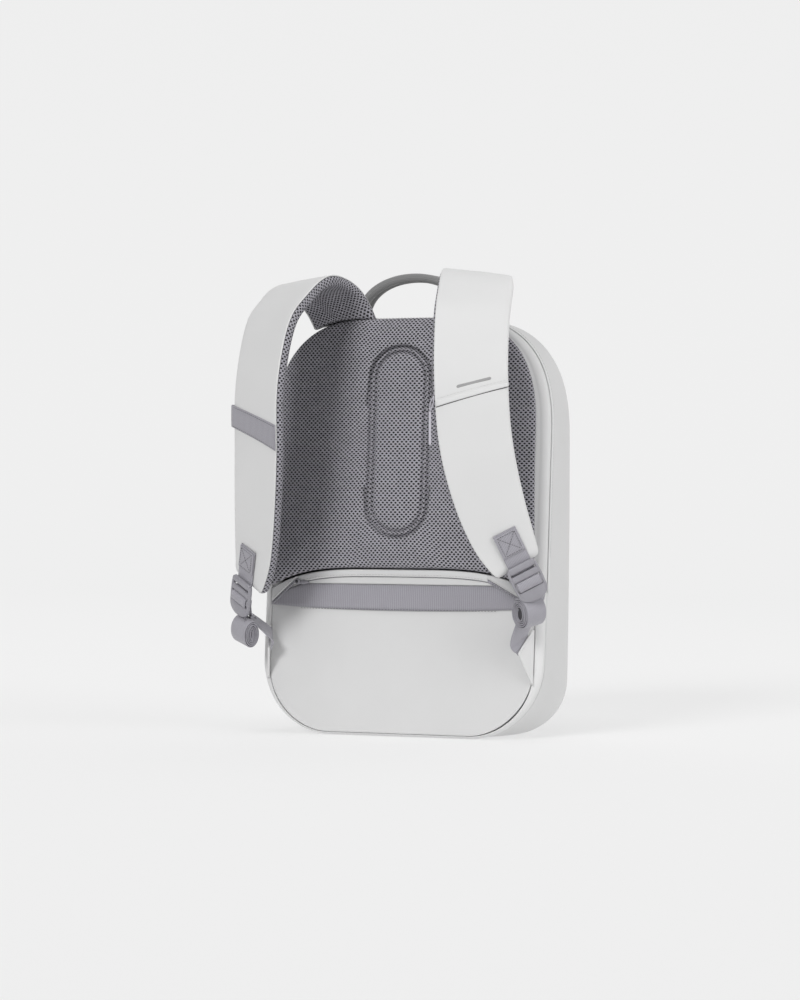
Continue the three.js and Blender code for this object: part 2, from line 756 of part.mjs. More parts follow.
// Webbing sewn on the strap's face, which runs down behind the buckle's top bars.
function upperWebbing(course, frame) {
  const STEPS = 5;
  const high = localStation(frame, BUCKLE_TOP + PATCH_CLEAR, -BEHIND_BUCKLE);
  const stations = [];
  for (let i = 0; i < STEPS; i += 1) {
    const distance = PATCH_LENGTH * (1 - i / STEPS);
    const point = high.p.clone().addScaledVector(frame.v, distance);
    const { p, n } = course(1 - (BUCKLE_TOP + PATCH_CLEAR - BUCKLE_DROP + distance) / course.total);
    point.addScaledVector(n, PATCH_OUT - point.clone().sub(p).dot(n));
    stations.push({ p: point, u: frame.u });
  }
  stations.push(high, localStation(frame, slotTop(1) + 2, -BEHIND_BUCKLE));
  return ribbonSweep(stations);
}

// A place in the buckle's plane, turned with the tail that hangs from it.
function localStation({ origin, u, v, n }, up, out, turn = 0) {
  const arm = rotated(v, n, turn).multiplyScalar(up).addScaledVector(n, out);
  return { p: origin.clone().add(arm), u: rotated(u, n, turn) };
}

// A ribbon of webbing along its stations' points, with its width along their u.
function ribbonSweep(stations, width = WEBBING_WIDTH, thickness = WEBBING_THICKNESS) {
  const last = stations.length - 1;
  const swept = stations.map(({ p, u }, i) => {
    const along = stations[Math.min(i + 1, last)].p.clone()
      .sub(stations[Math.max(i - 1, 0)].p).normalize();
    const across = u.clone().addScaledVector(along, -u.dot(along)).normalize();
    return { p, u: across, n: along.clone().cross(across).normalize(), width };
  });
  return sweep(swept, ribbon(-thickness / 2, thickness / 2));
}

// Webbing from the tab up behind the buckle, over its lower bar and back, with its tail rolled up.
function lowerWebbing(frame, tab) {
  const face = BEHIND_BUCKLE;
  const upSlot = slotTop(1) - BUCKLE_SLOT / 2;
  const downSlot = slotTop(2) - BUCKLE_SLOT / 2;
  const behind = -face - WEBBING_THICKNESS - GAP;
  const local = (up, out, turn) => localStation(frame, up, out, turn);
  const foot = local(BUCKLE_FOOT + 6, behind - 2);
  const rise = smooth([
    tab.start,
    tab.start.clone().addScaledVector(tab.along, TAB_RUN),
    tab.start.clone().addScaledVector(tab.along, 2 * TAB_RUN),
    local(BUCKLE_FOOT, behind - 6).p,
    foot.p,
  ]);
  const stations = [];
  const RISE_STEPS = 10;
  for (let i = 0; i <= RISE_STEPS; i += 1) {
    const share = i / RISE_STEPS;
    const twist = THREE.MathUtils.smoothstep(share, 0.15, 1);
    stations.push({ p: rise.getPointAt(share), u: tab.u.clone().lerp(frame.u, twist).normalize() });
  }
  stations.push(
    local(downSlot, behind),
    local(upSlot - 2.4, behind),
    local(upSlot - 0.3, behind + 1.2),
    local(upSlot, 0),
    local(upSlot - 0.4, face - 0.6),
    local(upSlot - 2, face),
    local(downSlot + 2, face),
    local(downSlot + 0.4, face - 0.6),
    local(downSlot, 0),
    local(downSlot - 0.4, -face + 0.6),
    local(downSlot - 2, -face),
    local(BUCKLE_FOOT + 4, -face, ROLL_PLUMB * 0.4),
    local(BUCKLE_FOOT - ROLL_DROP / 2, -face - 0.6, ROLL_PLUMB * 0.7),
  );
  const STEPS = 16;
  const START = 125;
  const pitch = WEBBING_THICKNESS + GAP;
  const steps = Math.round(ROLL_TURNS * STEPS);
  for (let i = 0; i <= steps; i += 1) {
    const angle = START - (i / STEPS) * 360;
    const high = ROLL_RADIUS - (pitch * i) / STEPS;
    const deep = high - ROLL_FLATNESS;
    stations.push(local(
      BUCKLE_FOOT - ROLL_DROP - ROLL_RADIUS + high * Math.sin(angle * DEGREE),
      deep * Math.cos(angle * DEGREE) - 1,
      ROLL_PLUMB,
    ));
  }
  return ribbonSweep(stations);
}

// The place of a triangular tab that stands out of the seam between rim and lower panel and leans
// inward. reach is its direction away from the seam, u lies along the edge that the webbing leaves by.
function tabFrame() {
  const lean = TAB_LEAN * DEGREE;
  const slope = TAB_SLOPE * DEGREE;
  const reach = vector(-Math.sin(lean), -Math.cos(lean), 0);
  const inward = vector(-Math.cos(lean), Math.sin(lean), 0);
  const up = vector(0, 0, 1);
  const u = up.clone().multiplyScalar(Math.cos(slope)).addScaledVector(reach, -Math.sin(slope));
  const along = reach.clone().multiplyScalar(Math.cos(slope)).addScaledVector(up, Math.sin(slope));
  const onTab = (out, z) =>
    vector(HALF_WIDTH - RIM_SIDE, backAt(z) - 2 * EDGE_GAP, z).addScaledVector(reach, out);
  const start = onTab(TAB_REACH, TAB_FOOT + TAB_APEX)
    .addScaledVector(u, WEBBING_WIDTH / 2)
    .addScaledVector(along, -TAB_LAP)
    .addScaledVector(inward, TAB_THICKNESS / 2 + 2 * GAP + WEBBING_THICKNESS / 2);
  return { onTab, inward, start, u, along };
}

function tabGeometry({ onTab, inward }) {
  const top = TAB_FOOT + TAB_LENGTH;
  const points = [
    onTab(0, TAB_FOOT),
    onTab(0, TAB_FOOT + TAB_LENGTH / 2),
    onTab(0, top),
    onTab(TAB_REACH * 0.12, top),
    onTab(TAB_REACH, TAB_FOOT + TAB_APEX),
  ];
  const faces = [-1, 1].map((side) =>
    points.map((point) => point.clone().addScaledVector(inward, (side * TAB_THICKNESS) / 2)));
  return loft(faces);
}

// The slim bar that hangs on a short cord from the zip at the inner edge of the right strap.
// toward runs from the strap's edge to the bar's top, and down is a share of the bar's length.
const ZIP_PULL_ROWS = [
  { toward: 0, down: 0, wide: ZIP_PULL_CORD },
  { toward: 0.5, down: 0, wide: ZIP_PULL_CORD },
  { toward: 1, down: 0, wide: ZIP_PULL_CORD },
  { toward: 1, down: 0.04, wide: ZIP_PULL_WIDTH },
  { toward: 1, down: 0.96, wide: ZIP_PULL_WIDTH },
  { toward: 1, down: 1, wide: ZIP_PULL_CORD },
];

function zipPull(course, share) {
  const ROUND_STEPS = 8;
  const beside = (offset) => -1 - (2 * offset) / STRAP_WIDTH;
  const edge = onStrap(course, share, beside(GAP + ZIP_PULL_CORD / 2), STRAP_COVER * 0.3);
  const hang = onStrap(course, share + ZIP_PULL_DROP / course.total, beside(ZIP_PULL_OFFSET), 0);
  const rings = ZIP_PULL_ROWS.map(({ toward, down, wide }) => {
    const middle = edge.clone().lerp(hang, toward);
    middle.z -= down * ZIP_PULL_LENGTH;
    const ring = [];
    for (let i = 0; i < ROUND_STEPS; i += 1) {
      const angle = (i / ROUND_STEPS) * 360 * DEGREE;
      const offset = vector(Math.cos(angle), Math.sin(angle), 0).multiplyScalar(wide / 2);
      ring.push(middle.clone().add(offset));
    }
    return ring;
  });
  return loft(rings);
}

// The bag's top with a gap round it, for cutting the straps' sewn ends to it.
function bodyClearance() {
  const rings = [backAt(BAG_HEIGHT) - PAD_CROWN, BAG_DEPTH / 2].map((y) =>
    bodyOutline({ inset: -GAP }).map(([x, z]) => vector(x, y, z)));
  return loft(rings);
}

function asSolid(geometry) {
  const flat = geometry.clone();
  flat.deleteAttribute('normal');
  flat.deleteAttribute('uv');
  const merged = mergeVertices(flat, 1e-4);
  return new wasm.Manifold(new wasm.Mesh({
    numProp: 3,
    vertProperties: new Float32Array(merged.attributes.position.array),
    triVerts: new Uint32Array(merged.index.array),
  }));
}

function cutBy(geometry, cutter) {
  const result = asSolid(geometry).subtract(asSolid(cutter));
  const mesh = result.getMesh();
  const cut = new THREE.BufferGeometry();
  cut.setAttribute('position', new THREE.Float32BufferAttribute(mesh.vertProperties, 3));
  cut.setIndex([...mesh.triVerts]);
  return cut;
}

// Adds a piece of one side, which is modelled on the right and mirrored for the left.
function addSided(side, name, geometry, finish) {
  let flat = geometry.clone();
  flat.deleteAttribute('normal');
  flat.deleteAttribute('uv');
  flat = mergeVertices(flat, 1e-4);
  const position = flat.attributes.position;
  const points = [];
  for (let i = 0; i < position.count; i += 1) {
    const point = vector(0, 0, 0).fromBufferAttribute(position, i);
    point.x *= side.sign;
    points.push(point);
  }
  const triangles = [];
  for (let i = 0; i < flat.index.count; i += 3) {
    triangles.push([flat.index.getX(i), flat.index.getX(i + 1), flat.index.getX(i + 2)]);
  }
  add(`${name}_${side.name}`, geometryFrom(points, triangles), finish);
}

function makeSide(side) {
  const course = strapCourse(side);
  const stations = stretch(course, 0, 1, STRAP_STEPS);
  const cover = cutBy(sweep(stations, COVER_SECTION), bodyClearance());
  const padding = cutBy(sweep(stations, PADDING_SECTION), bodyClearance());
  addSided(side, 'strap_cover', cover, 'white');
  addSided(side, 'strap_pad', padding, 'mesh');
  const frame = buckleFrame(course);
  addSided(side, 'buckle', buckleGeometry(frame), 'plastic');
  addSided(side, 'upper_webbing', upperWebbing(course, frame), 'grey');
  const tab = tabFrame();
  addSided(side, 'side_tab', tabGeometry(tab), 'white');
  addSided(side, 'lower_webbing', lowerWebbing(frame, tab), 'grey');
  return course;
}

const SIDES = {
  left: { name: 'left', sign: -1, sag: STRAP_SAG_LEFT, rise: SHOULDER_RISE_LEFT },
  right: { name: 'right', sign: 1, sag: 0, rise: SHOULDER_RISE },
};

makeShell();
makeRim();
makeZipLip();
makeBackPad();
makeLowerPanel();
makePocket();
makeHandle();
const leftCourse = makeSide(SIDES.left);
const rightCourse = makeSide(SIDES.right);

const onCover = STRAP_COVER + GAP;
const bandPlace = shareAtHeight(leftCourse, STRAP_BAND_HEIGHT);
const hemPlace = shareAtHeight(rightCourse, STRAP_HEM_HEIGHT);
addSided(SIDES.left, 'strap_band', strapBand(leftCourse, {
  middle: bandPlace,
  length: STRAP_BAND_WIDTH,
  low: onCover,
  thickness: STRAP_TRIM,
}), 'grey');
addSided(SIDES.right, 'strap_pocket_hem', strapBand(rightCourse, {
  middle: hemPlace,
  length: STRAP_HEM_WIDTH,
  low: onCover,
  thickness: STRAP_TRIM * 0.6,
}), 'white');
addSided(SIDES.right, 'strap_mark', strapBand(rightCourse, {
  middle: hemPlace - MARK_RISE / rightCourse.total,
  length: MARK_WIDTH,
  from: -0.42,
  to: 0.52,
  low: onCover,
  thickness: STRAP_TRIM * 0.6,
}), 'grey');
addSided(SIDES.right, 'strap_zip_pull', zipPull(rightCourse, hemPlace), 'plastic');

export default backpack;
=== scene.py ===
import math

import bpy
import numpy as np
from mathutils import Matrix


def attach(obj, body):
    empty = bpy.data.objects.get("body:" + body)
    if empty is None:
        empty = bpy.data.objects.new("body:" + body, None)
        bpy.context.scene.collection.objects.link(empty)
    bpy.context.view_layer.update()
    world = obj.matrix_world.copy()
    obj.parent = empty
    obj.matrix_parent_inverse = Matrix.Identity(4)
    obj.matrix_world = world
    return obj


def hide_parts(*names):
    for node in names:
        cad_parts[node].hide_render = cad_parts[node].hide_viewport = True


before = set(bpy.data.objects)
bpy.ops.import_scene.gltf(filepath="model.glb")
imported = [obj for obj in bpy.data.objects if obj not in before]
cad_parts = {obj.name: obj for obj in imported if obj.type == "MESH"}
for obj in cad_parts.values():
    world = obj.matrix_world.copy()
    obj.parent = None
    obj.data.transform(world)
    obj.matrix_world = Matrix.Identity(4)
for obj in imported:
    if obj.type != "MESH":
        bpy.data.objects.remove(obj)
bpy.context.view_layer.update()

# Lengths are in millimetres as in the part's own source, and become metres when a mesh is made.
MM = 0.001

# Body
HEIGHT = 430.0
HALF_WIDTH = 155.0
DEPTH = 130.0
BACK_LEAN = 38.0
WALL = 2.5
GAP = 0.4
TOP_CORNER = (108.0, 122.0)
FOOT_CORNER = 78.0
FOOT_CORNER_LEAST = 20.0
CORNER_SQUARE = 20.0
SQUARE_RUN = 60.0
FRONT_ROUND = 52.0
FRONT_FOOT_ROUND = 26.0
FRONT_DOME = 6.79
FRONT_TURN = math.radians(80)
RIM_SIDE = 9.0
RIM_TOP = 2.0
RIM_FOOT = 3.0
RIM_DEPTH = 8.0
ZIP_LIP = (4.6, 1.3)
ZIP_END = 136.0
LIP_MIDDLE = 200.0
POWER = 2.5

# Back pad
PAD_HALF = 147.5
PAD_CROWN = 22.0
PAD_FOOT = 173.0
PAD_DROP = 23.0
CHANNEL_HALF = 33.0
CHANNEL_HEIGHT = 196.0
CHANNEL_MIDDLE = 303.0
CHANNEL_RIB = 5.6
CHANNEL_DEPTH = 4.4
PAD_DRAWN_IN = 9.0
PAD_CORNER = 12.0

# Lower panel
PANEL_GAP = 0.3
PANEL_SEAM = 1.4
PANEL_HALF = HALF_WIDTH - RIM_SIDE - PANEL_GAP
PANEL_DOME = 7.0
PANEL_THICK = 3.0
HEM_WIDTH = 7.6
HEM_HALF = 126.0
TEETH_HALF = 112.0
TEETH_PITCH = 1.9
SLIDER_PLACE = -106.0
FLAP_TOP = 163.6
ZIP_SLIT = 0.8
BAND_TOP = 155.5
BAND_WIDTH = 26.5

# Handle and straps
HANDLE_SPAN = 58.0
HANDLE_RISE = 41.0
HANDLE_WIDTH = 22.0
HANDLE_THICK = 9.0
HANDLE_BACK = 4.0
STRAP_WIDTH = 74.0
STRAP_COVER = 3.0
STRAP_PAD = 8.0
STRAP_BOW = 130.0
STRAP_TUCK = 6.0
TUCK_END = 0.26
TUCK_FADE = 0.1
TIP_RUN = 7.0
ROOT_LEAST = 380.0
SLANT = 8.5
BAND_HEIGHT = 318.0
HEM_HEIGHT = 348.0

# Webbing and buckles
WEBBING = (25.0, 1.5)
BUCKLE = (32.0, 41.0, 4.0)
SLOT = 2.6
BAR = 6.5
BUCKLE_DROP = 13.0
PATCH_FOOT = 3.0
PATCH_LENGTH = 34.0
PATCH_SEAM = 3.0
BUCKLE_TURN = -4.0
BUCKLE_RIM = (1.5, 2.1)
FOOT_THICK = 1.6
ROLL_TURNS = 5.0
ROLL_DROP = 4.0
ROLL_PLUMB = -10.0
ROLL_STEPS = 40
ROLL_THICK = 1.25
# Half the length of the near-black plug inside each webbing roll, which paints the shade in the gaps
# between its wraps
ROLL_SHADE_PLUG_HALF = 11.2
TAB_FOOT = 56.0
TAB_LENGTH = 56.0
TAB_APEX = 33.4
TAB_REACH = 23.0
TAB_LEAN = math.radians(22)
TAB_SLOPE = math.radians(43)
TAB_THICK = 2.2


# Nodes
def new_material(name):
    mat = bpy.data.materials.new(name)
    mat.use_nodes = True
    nodes = mat.node_tree.nodes
    nodes.clear()
    out = nodes.new("ShaderNodeOutputMaterial")
    shader = nodes.new("ShaderNodeBsdfPrincipled")
    mat.node_tree.links.new(shader.outputs[0], out.inputs[0])
    return mat, mat.node_tree, shader


def link(tree, a, b):
    tree.links.new(a, b)


# Gives the shader's sockets their numbers, or links them
def dress(tree, shader, **sockets):
    for name, value in sockets.items():
        socket = shader.inputs[name.replace("_", " ")]
        if isinstance(value, (int, float)):
            socket.default_value = value
        else:
            link(tree, value, socket)


def math_node(tree, operation, a, b=None, c=None):
    node = tree.nodes.new("ShaderNodeMath")
    node.operation = operation
    for socket, value in zip(node.inputs, (a, b, c)):
        if value is None:
            continue
        if isinstance(value, (int, float)):
            socket.default_value = value
        else:
            link(tree, value, socket)
    return node.outputs[0]


def scaled(tree, value, by, plus):
    return math_node(tree, "MULTIPLY_ADD", value, by, plus)


def noise(tree, vector, scale, detail=3.0, rough=0.55):
    node = tree.nodes.new("ShaderNodeTexNoise")
    node.inputs["Scale"].default_value = scale
    node.inputs["Detail"].default_value = detail
    node.inputs["Roughness"].default_value = rough
    link(tree, vector, node.inputs["Vector"])
    return node.outputs["Fac"]


def ramp(tree, value, stops):
    node = tree.nodes.new("ShaderNodeValToRGB")
    elements = node.color_ramp.elements
    while len(elements) < len(stops):
        elements.new(0.5)
    for element, (place, colour) in zip(elements, stops):
        element.position = place
        element.color = (*colour, 1)
    link(tree, value, node.inputs[0])
    return node.outputs[0]


def bump(tree, height, distance, strength=1.0, under=None):
    node = tree.nodes.new("ShaderNodeBump")
    node.inputs["Strength"].default_value = strength
    node.inputs["Distance"].default_value = distance
    link(tree, height, node.inputs["Height"])
    if under is not None:
        link(tree, under, node.inputs["Normal"])
    return node.outputs[0]


def coordinates(tree, kind):
    node = tree.nodes.new("ShaderNodeTexCoord")
    return node.outputs[kind]


def split(tree, vector):
    node = tree.nodes.new("ShaderNodeSeparateXYZ")
    link(tree, vector, node.inputs[0])
    return node.outputs


def grey(value):
    return (value, value, value)


def tint(value, cool):
    return (value * (1 + cool / 4), value, value * (1 + cool))


def wave(tree, value, pitch, phase=0.0):
    turned = scaled(tree, value, 2 * math.pi / pitch, phase)
    return scaled(tree, math_node(tree, "SINE", turned), 0.5, 0.5)


# Coated white cloth with a fine woven grain
def white_cloth(name, level):
    mat, tree, shader = new_material(name)
    place = coordinates(tree, "Object")
    patches = noise(tree, place, 14, 3)
    colour = ramp(tree, patches, [(0.3, grey(level * 0.975)), (0.7, grey(level))])
    grain = noise(tree, place, 1900, 2, 0.6)
    coarse = noise(tree, place, 420, 2, 0.5)
    first = bump(tree, grain, 0.00018, 0.28)
    dress(tree, shader, Base_Color=colour, Normal=bump(tree, coarse, 0.0003, 0.16, first),
          Roughness=scaled(tree, coarse, 0.12, 0.5), Sheen_Weight=0.08, Sheen_Roughness=0.5)
    return mat


# Where a mesh hole ends and its cloth begins, in shares of the hole's size
HOLE_EDGE = (0.78, 1.2)


# Spacer mesh: rows of oval holes, each row half a pitch along from the last. The holes are painted near
# black: painted shade in their depth.
def spacer_mesh(name, light, pitch, row, hole):
    mat, tree, shader = new_material(name)
    u, v, _ = split(tree, coordinates(tree, "UV"))
    wobble = noise(tree, coordinates(tree, "Object"), 300, 2)
    shift = scaled(tree, wobble, 0.0009, -0.00045)
    u = math_node(tree, "ADD", u, shift)
    v = math_node(tree, "ADD", v, shift)
    along = math_node(tree, "MULTIPLY", u, 1 / (pitch * MM))
    cross = math_node(tree, "MULTIPLY", v, 1 / (2 * row * MM))
    parts = []
    for operation in ("ADD", "SUBTRACT"):
        value = math_node(tree, operation, along, cross)
        value = math_node(tree, "ADD", value, 1000.5)
        value = math_node(tree, "FRACT", value)
        parts.append(math_node(tree, "SUBTRACT", value, 0.5))
    x = math_node(tree, "MULTIPLY", math_node(tree, "ADD", *parts), pitch / 2 / hole[0])
    y = math_node(tree, "MULTIPLY", math_node(tree, "SUBTRACT", *parts), row / hole[1])
    far = math_node(tree, "ADD", math_node(tree, "MULTIPLY", x, x), math_node(tree, "MULTIPLY", y, y))
    far = math_node(tree, "SQRT", far)
    solid = tree.nodes.new("ShaderNodeMapRange")
    solid.interpolation_type = "SMOOTHSTEP"
    solid.inputs["From Min"].default_value, solid.inputs["From Max"].default_value = HOLE_EDGE
    link(tree, far, solid.inputs["Value"])
    height = solid.outputs[0]
    knit = math_node(tree, "MULTIPLY", wave(tree, u, 0.55 * MM), wave(tree, v, 0.75 * MM))
    thread = scaled(tree, knit, 0.3, 0.85)
    patch = noise(tree, coordinates(tree, "Object"), 60, 3)
    worn = scaled(tree, patch, 0.3, 0.85)
    level = math_node(tree, "MULTIPLY", math_node(tree, "MULTIPLY", thread, worn), height)
    # The hole pattern is real, but its near-black colour is painted shade in the holes' depth; the knit and
    # the random patches are the cloth's own tone.
    colour = ramp(tree, level, [(0.0, tint(0.01, 0.1)), (0.3, tint(light * 0.35, 0.1)),
                                (1.0, tint(light, 0.1))])
    first = bump(tree, height, 0.0012, 0.8)
    dress(tree, shader, Base_Color=colour, Normal=bump(tree, knit, 0.0002, 0.5, first),
          Roughness=0.9, Sheen_Weight=0.05)
    return mat


# Woven webbing: fine ribs along it with a twill across them
def woven(name, level, rib=1.5, along=1.1, cool=0.11, depth=0.00035, turned=False):
    mat, tree, shader = new_material(name)
    u, v, _ = split(tree, coordinates(tree, "UV"))
    if turned:
        u, v = v, u
    ribs = wave(tree, u, rib * MM)
    slanted = math_node(tree, "ADD", v, math_node(tree, "MULTIPLY", u, 0.6))
    picks = wave(tree, slanted, along * MM)
    height = scaled(tree, picks, 0.45, math_node(tree, "MULTIPLY", ribs, 0.55))
    fuzz = noise(tree, coordinates(tree, "Object"), 2600, 2)
    shade = scaled(tree, fuzz, 0.35, math_node(tree, "MULTIPLY", height, 0.65))
    colour = ramp(tree, shade, [(0.1, tint(level * 0.62, cool)), (0.75, tint(level * 1.12, cool))])
    first = bump(tree, height, depth, 0.7)
    dress(tree, shader, Base_Color=colour, Normal=bump(tree, fuzz, 0.0001, 0.4, first),
          Roughness=0.78, Sheen_Weight=0.3)
    return mat


# Moulded nylon with a faint spark-eroded grain
def nylon(name, level, rough=0.42):
    mat, tree, shader = new_material(name)
    place = coordinates(tree, "Object")
    grain = noise(tree, place, 2200, 2)
    patch = noise(tree, place, 90, 3)
    colour = ramp(tree, patch, [(0.3, tint(level * 0.92, 0.1)), (0.7, tint(level, 0.1))])
    dress(tree, shader, Base_Color=colour, Normal=bump(tree, grain, 0.00008, 0.35),
          Roughness=scaled(tree, grain, 0.14, rough - 0.07))
    return mat


# Thread for the stitches
def thread(name, level):
    mat, tree, shader = new_material(name)
    place = coordinates(tree, "Object")
    twist = noise(tree, place, 3200, 1)
    colour = ramp(tree, twist, [(0.35, grey(level * 0.7)), (0.7, grey(level))])
    dress(tree, shader, Base_Color=colour, Normal=bump(tree, twist, 0.00015, 0.5), Roughness=0.7)
    return mat


# Plain studio floor, partly lit from within so that it stays even. It takes shadows near the bag.
def studio(name):
    mat, tree, shader = new_material(name)
    place = coordinates(tree, "Object")
    speck = noise(tree, place, 3, 2)
    away = scaled(tree, split(tree, place)[1], 0.4, -0.2)
    away = scaled(tree, speck, 0.01, away)
    dress(tree, shader, Base_Color=ramp(tree, away, [(0.0, grey(0.3)), (1.0, grey(0.06))]),
          Emission_Color=ramp(tree, away, [(0.0, grey(0.585)), (1.0, grey(0.795))]),
          Roughness=1.0, Specular_IOR_Level=0.0, Emission_Strength=1.0)
    return mat


MAT = {
    "shell": white_cloth("shell_cloth", 0.61),
    "rim": white_cloth("rim_cloth", 0.69),
    "panel": white_cloth("panel_cloth", 0.63),
    "cover": white_cloth("strap_cloth", 0.66),
    "mesh": spacer_mesh("spacer_mesh", 0.4, 4.75, 2.4, (1.32, 0.98)),
    "strap_mesh": spacer_mesh("strap_mesh", 0.37, 4.5, 2.3, (1.2, 0.9)),
    "webbing": woven("grey_webbing", 0.345),
    "band": woven("ribbed_band", 0.335, rib=2.1, along=0.9, turned=True),
    "mark": woven("reflective_mark", 0.34, rib=0.8, along=0.8, cool=0.0, depth=0.00015),
    "handle": woven("handle_webbing", 0.225, rib=1.3, along=1.0, cool=0.0),
    "buckle": nylon("buckle_nylon", 0.29, 0.36),
    "pull": nylon("pull_rubber", 0.5, 0.5),
    "zip": nylon("pocket_zip_tape", 0.24, 0.6),
    # near black: the strap pocket's zip slit, and painted shade in the zip pull's hole
    "dark": nylon("zip_coil_and_hole_shade", 0.035, 0.6),
    # painted shade: near-black plugs inside the webbing rolls that darken the gaps between the wraps
    "core": nylon("roll_shade_plug", 0.05, 0.8),
    "white_thread": thread("white_thread", 0.7),
    "grey_thread": thread("grey_thread", 0.1),
    "floor": studio("studio_floor"),
}


# Meshes
# A piece from points in millimetres, riding on the body and standing for its nodes
def make(name, verts, faces, uvs, material, nodes, slot):
    mesh = bpy.data.meshes.new(name)
    mesh.from_pydata((np.asarray(verts) * MM).tolist(), [], faces)
    layer = mesh.uv_layers.new(name="UVMap")
    layer.data.foreach_set("uv", (np.asarray(uvs, float) * MM).ravel())
    mesh.polygons.foreach_set("use_smooth", [True] * len(mesh.polygons))
    mesh.materials.append(MAT[material])
    mesh.update()
    piece = bpy.data.objects.new(name, mesh)
    bpy.context.scene.collection.objects.link(piece)
    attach(piece, "root")
    if nodes:
        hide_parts(*nodes)
    return piece


def run_lengths(points, axis):
    steps = np.linalg.norm(np.diff(points, axis=axis), axis=2)
    mean = steps.mean(axis=1 - axis)
    return np.concatenate([[0], np.cumsum(mean)])


# A grid of points as a skin. It can close on itself either way, and open ends get caps.
def skin(grid, wrap_rows=False, wrap_cols=True, caps=True, uv=None):
    rows, cols = grid.shape[:2]
    if uv is None:
        full = grid
        if wrap_cols:
            full = np.concatenate([full, full[:, :1]], axis=1)
        if wrap_rows:
            full = np.concatenate([full, full[:1]], axis=0)
        across = run_lengths(full, 1)
        along = run_lengths(full, 0)
        uv = np.stack(np.meshgrid(across, along), axis=2)
    verts = grid.reshape(-1, 3).tolist()
    faces = []
    loops = []
    for i in range(rows if wrap_rows else rows - 1):
        k = (i + 1) % rows
        for j in range(cols if wrap_cols else cols - 1):
            m = (j + 1) % cols
            face = [i * cols + j, i * cols + m, k * cols + m, k * cols + j]
            places = [uv[i, j], uv[i, j + 1], uv[i + 1, j + 1], uv[i + 1, j]]
            faces.append(face)
            loops += places
    if caps and not wrap_rows:
        for row in (0, rows - 1):
            verts.append(grid[row].mean(axis=0).tolist())
            pole = len(verts) - 1
            middle = uv[row, :cols].mean(axis=0)
            for j in range(cols):
                m = (j + 1) % cols
                face = [pole, row * cols + m, row * cols + j]
                places = [middle, uv[row, j + 1] if wrap_cols else uv[row, m], uv[row, j]]
                if row > 0:
                    face.reverse()
                    places.reverse()
                faces.append(face)
                loops += places
    return verts, faces, loops


# Turns every face over, with its places on the texture.
def turned_over(verts, faces, loops):
    turned = []
    start = 0
    for face in faces:
        count = len(face)
        turned += list(loops[start:start + count])[::-1]
        start += count
    return verts, [face[::-1] for face in faces], turned


def outward(verts, faces, loops):
    points = np.asarray(verts)
    total = 0.0
    for face in faces:
        a = points[face[0]]
        for k in range(1, len(face) - 1):
            total += np.dot(a, np.cross(points[face[k]], points[face[k + 1]]))
    if total >= 0:
        return verts, faces, loops
    return turned_over(verts, faces, loops)


# A closed skin over rows of points, with its faces outward
def closed(rows, **how):
    return outward(*skin(np.array(rows), **how))


def joined(parts):
    verts, faces, loops = [], [], []
    for v, f, l in parts:
        start = len(verts)
        verts += list(v)
        faces += [[start + i for i in face] for face in f]
        loops += list(l)
    return verts, faces, loops


def mirrored(part, sign):
    if sign > 0:
        return part
    verts, faces, loops = part
    return turned_over([[-x, y, z] for x, y, z in verts], faces, loops)


# Cosine and sine of even steps round a circle
def circle(count):
    return [(math.cos(k / count * 2 * math.pi), math.sin(k / count * 2 * math.pi)) for k in range(count)]


# Moves a circle's point out toward a square's, more so with a larger power.
def squared(c, s, power):
    square = (abs(c) ** power + abs(s) ** power) ** (-1 / power)
    return c * square, s * square


def eased(share):
    return share * share * (3 - 2 * share)


def unit(v):
    v = np.asarray(v, float)
    return v / np.maximum(np.linalg.norm(v, axis=-1, keepdims=True), 1e-9)


# The body's outline, with points along its straight runs too
def outline(half, foot, top, foot_corner, top_width, top_height):
    points = []
    for share in np.linspace(0, 1, 5)[:-1]:
        points.append((share * (half - foot_corner), foot))
    for angle in np.linspace(0, math.pi / 2, 18):
        points.append((half - foot_corner + foot_corner * math.sin(angle),
                       foot + foot_corner - foot_corner * math.cos(angle)))
    low, high = foot + foot_corner, top - top_height
    for share in np.linspace(0, 1, 14)[1:-1]:
        points.append((half, low + (high - low) * share))
    for angle in np.linspace(0, math.pi / 2, 30):
        points.append((half - top_width + top_width * max(math.cos(angle), 0) ** (2 / POWER),
                       high + top_height * math.sin(angle) ** (2 / POWER)))
    for share in np.linspace(1, 0, 5)[1:]:
        points.append((share * (half - top_width), top))
    left = [(-x, z) for x, z in points[1:-1]][::-1]
    return np.array(points + left)


def body_outline(rim=0.0, inset=0.0, rounding=0.0, corner=FOOT_CORNER):
    side = rim * RIM_SIDE + inset + rounding * FRONT_ROUND
    foot = rim * RIM_FOOT + inset + rounding * FRONT_FOOT_ROUND
    crown = rim * RIM_TOP + inset + rounding * FRONT_ROUND
    return outline(HALF_WIDTH - side, foot, HEIGHT - crown, max(corner - side, FOOT_CORNER_LEAST),
                   TOP_CORNER[0] - side * 0.7, TOP_CORNER[1] - crown * 0.7)


def back_at(z):
    return -DEPTH / 2 + BACK_LEAN * np.minimum(np.asarray(z) / HEIGHT, 1.02)


def front_at(z):
    return DEPTH / 2 - 0.07 * DEPTH * np.abs(2 * z / HEIGHT - 0.9) ** 2.2


def body_ring(depth, **shape):
    start = RIM_DEPTH + ZIP_LIP[0] + 1
    square = eased(min(max(depth - start, 0) / SQUARE_RUN, 1))
    flat = body_outline(corner=FOOT_CORNER - CORNER_SQUARE * square, **shape)
    x, z = flat[:, 0], flat[:, 1]
    if depth <= start:
        y = back_at(z) + depth
    else:
        share = (depth - start) / (DEPTH - start)
        near = back_at(z) + start
        y = near + (front_at(z) - near) * share
    return np.stack([x, y, z], axis=1)


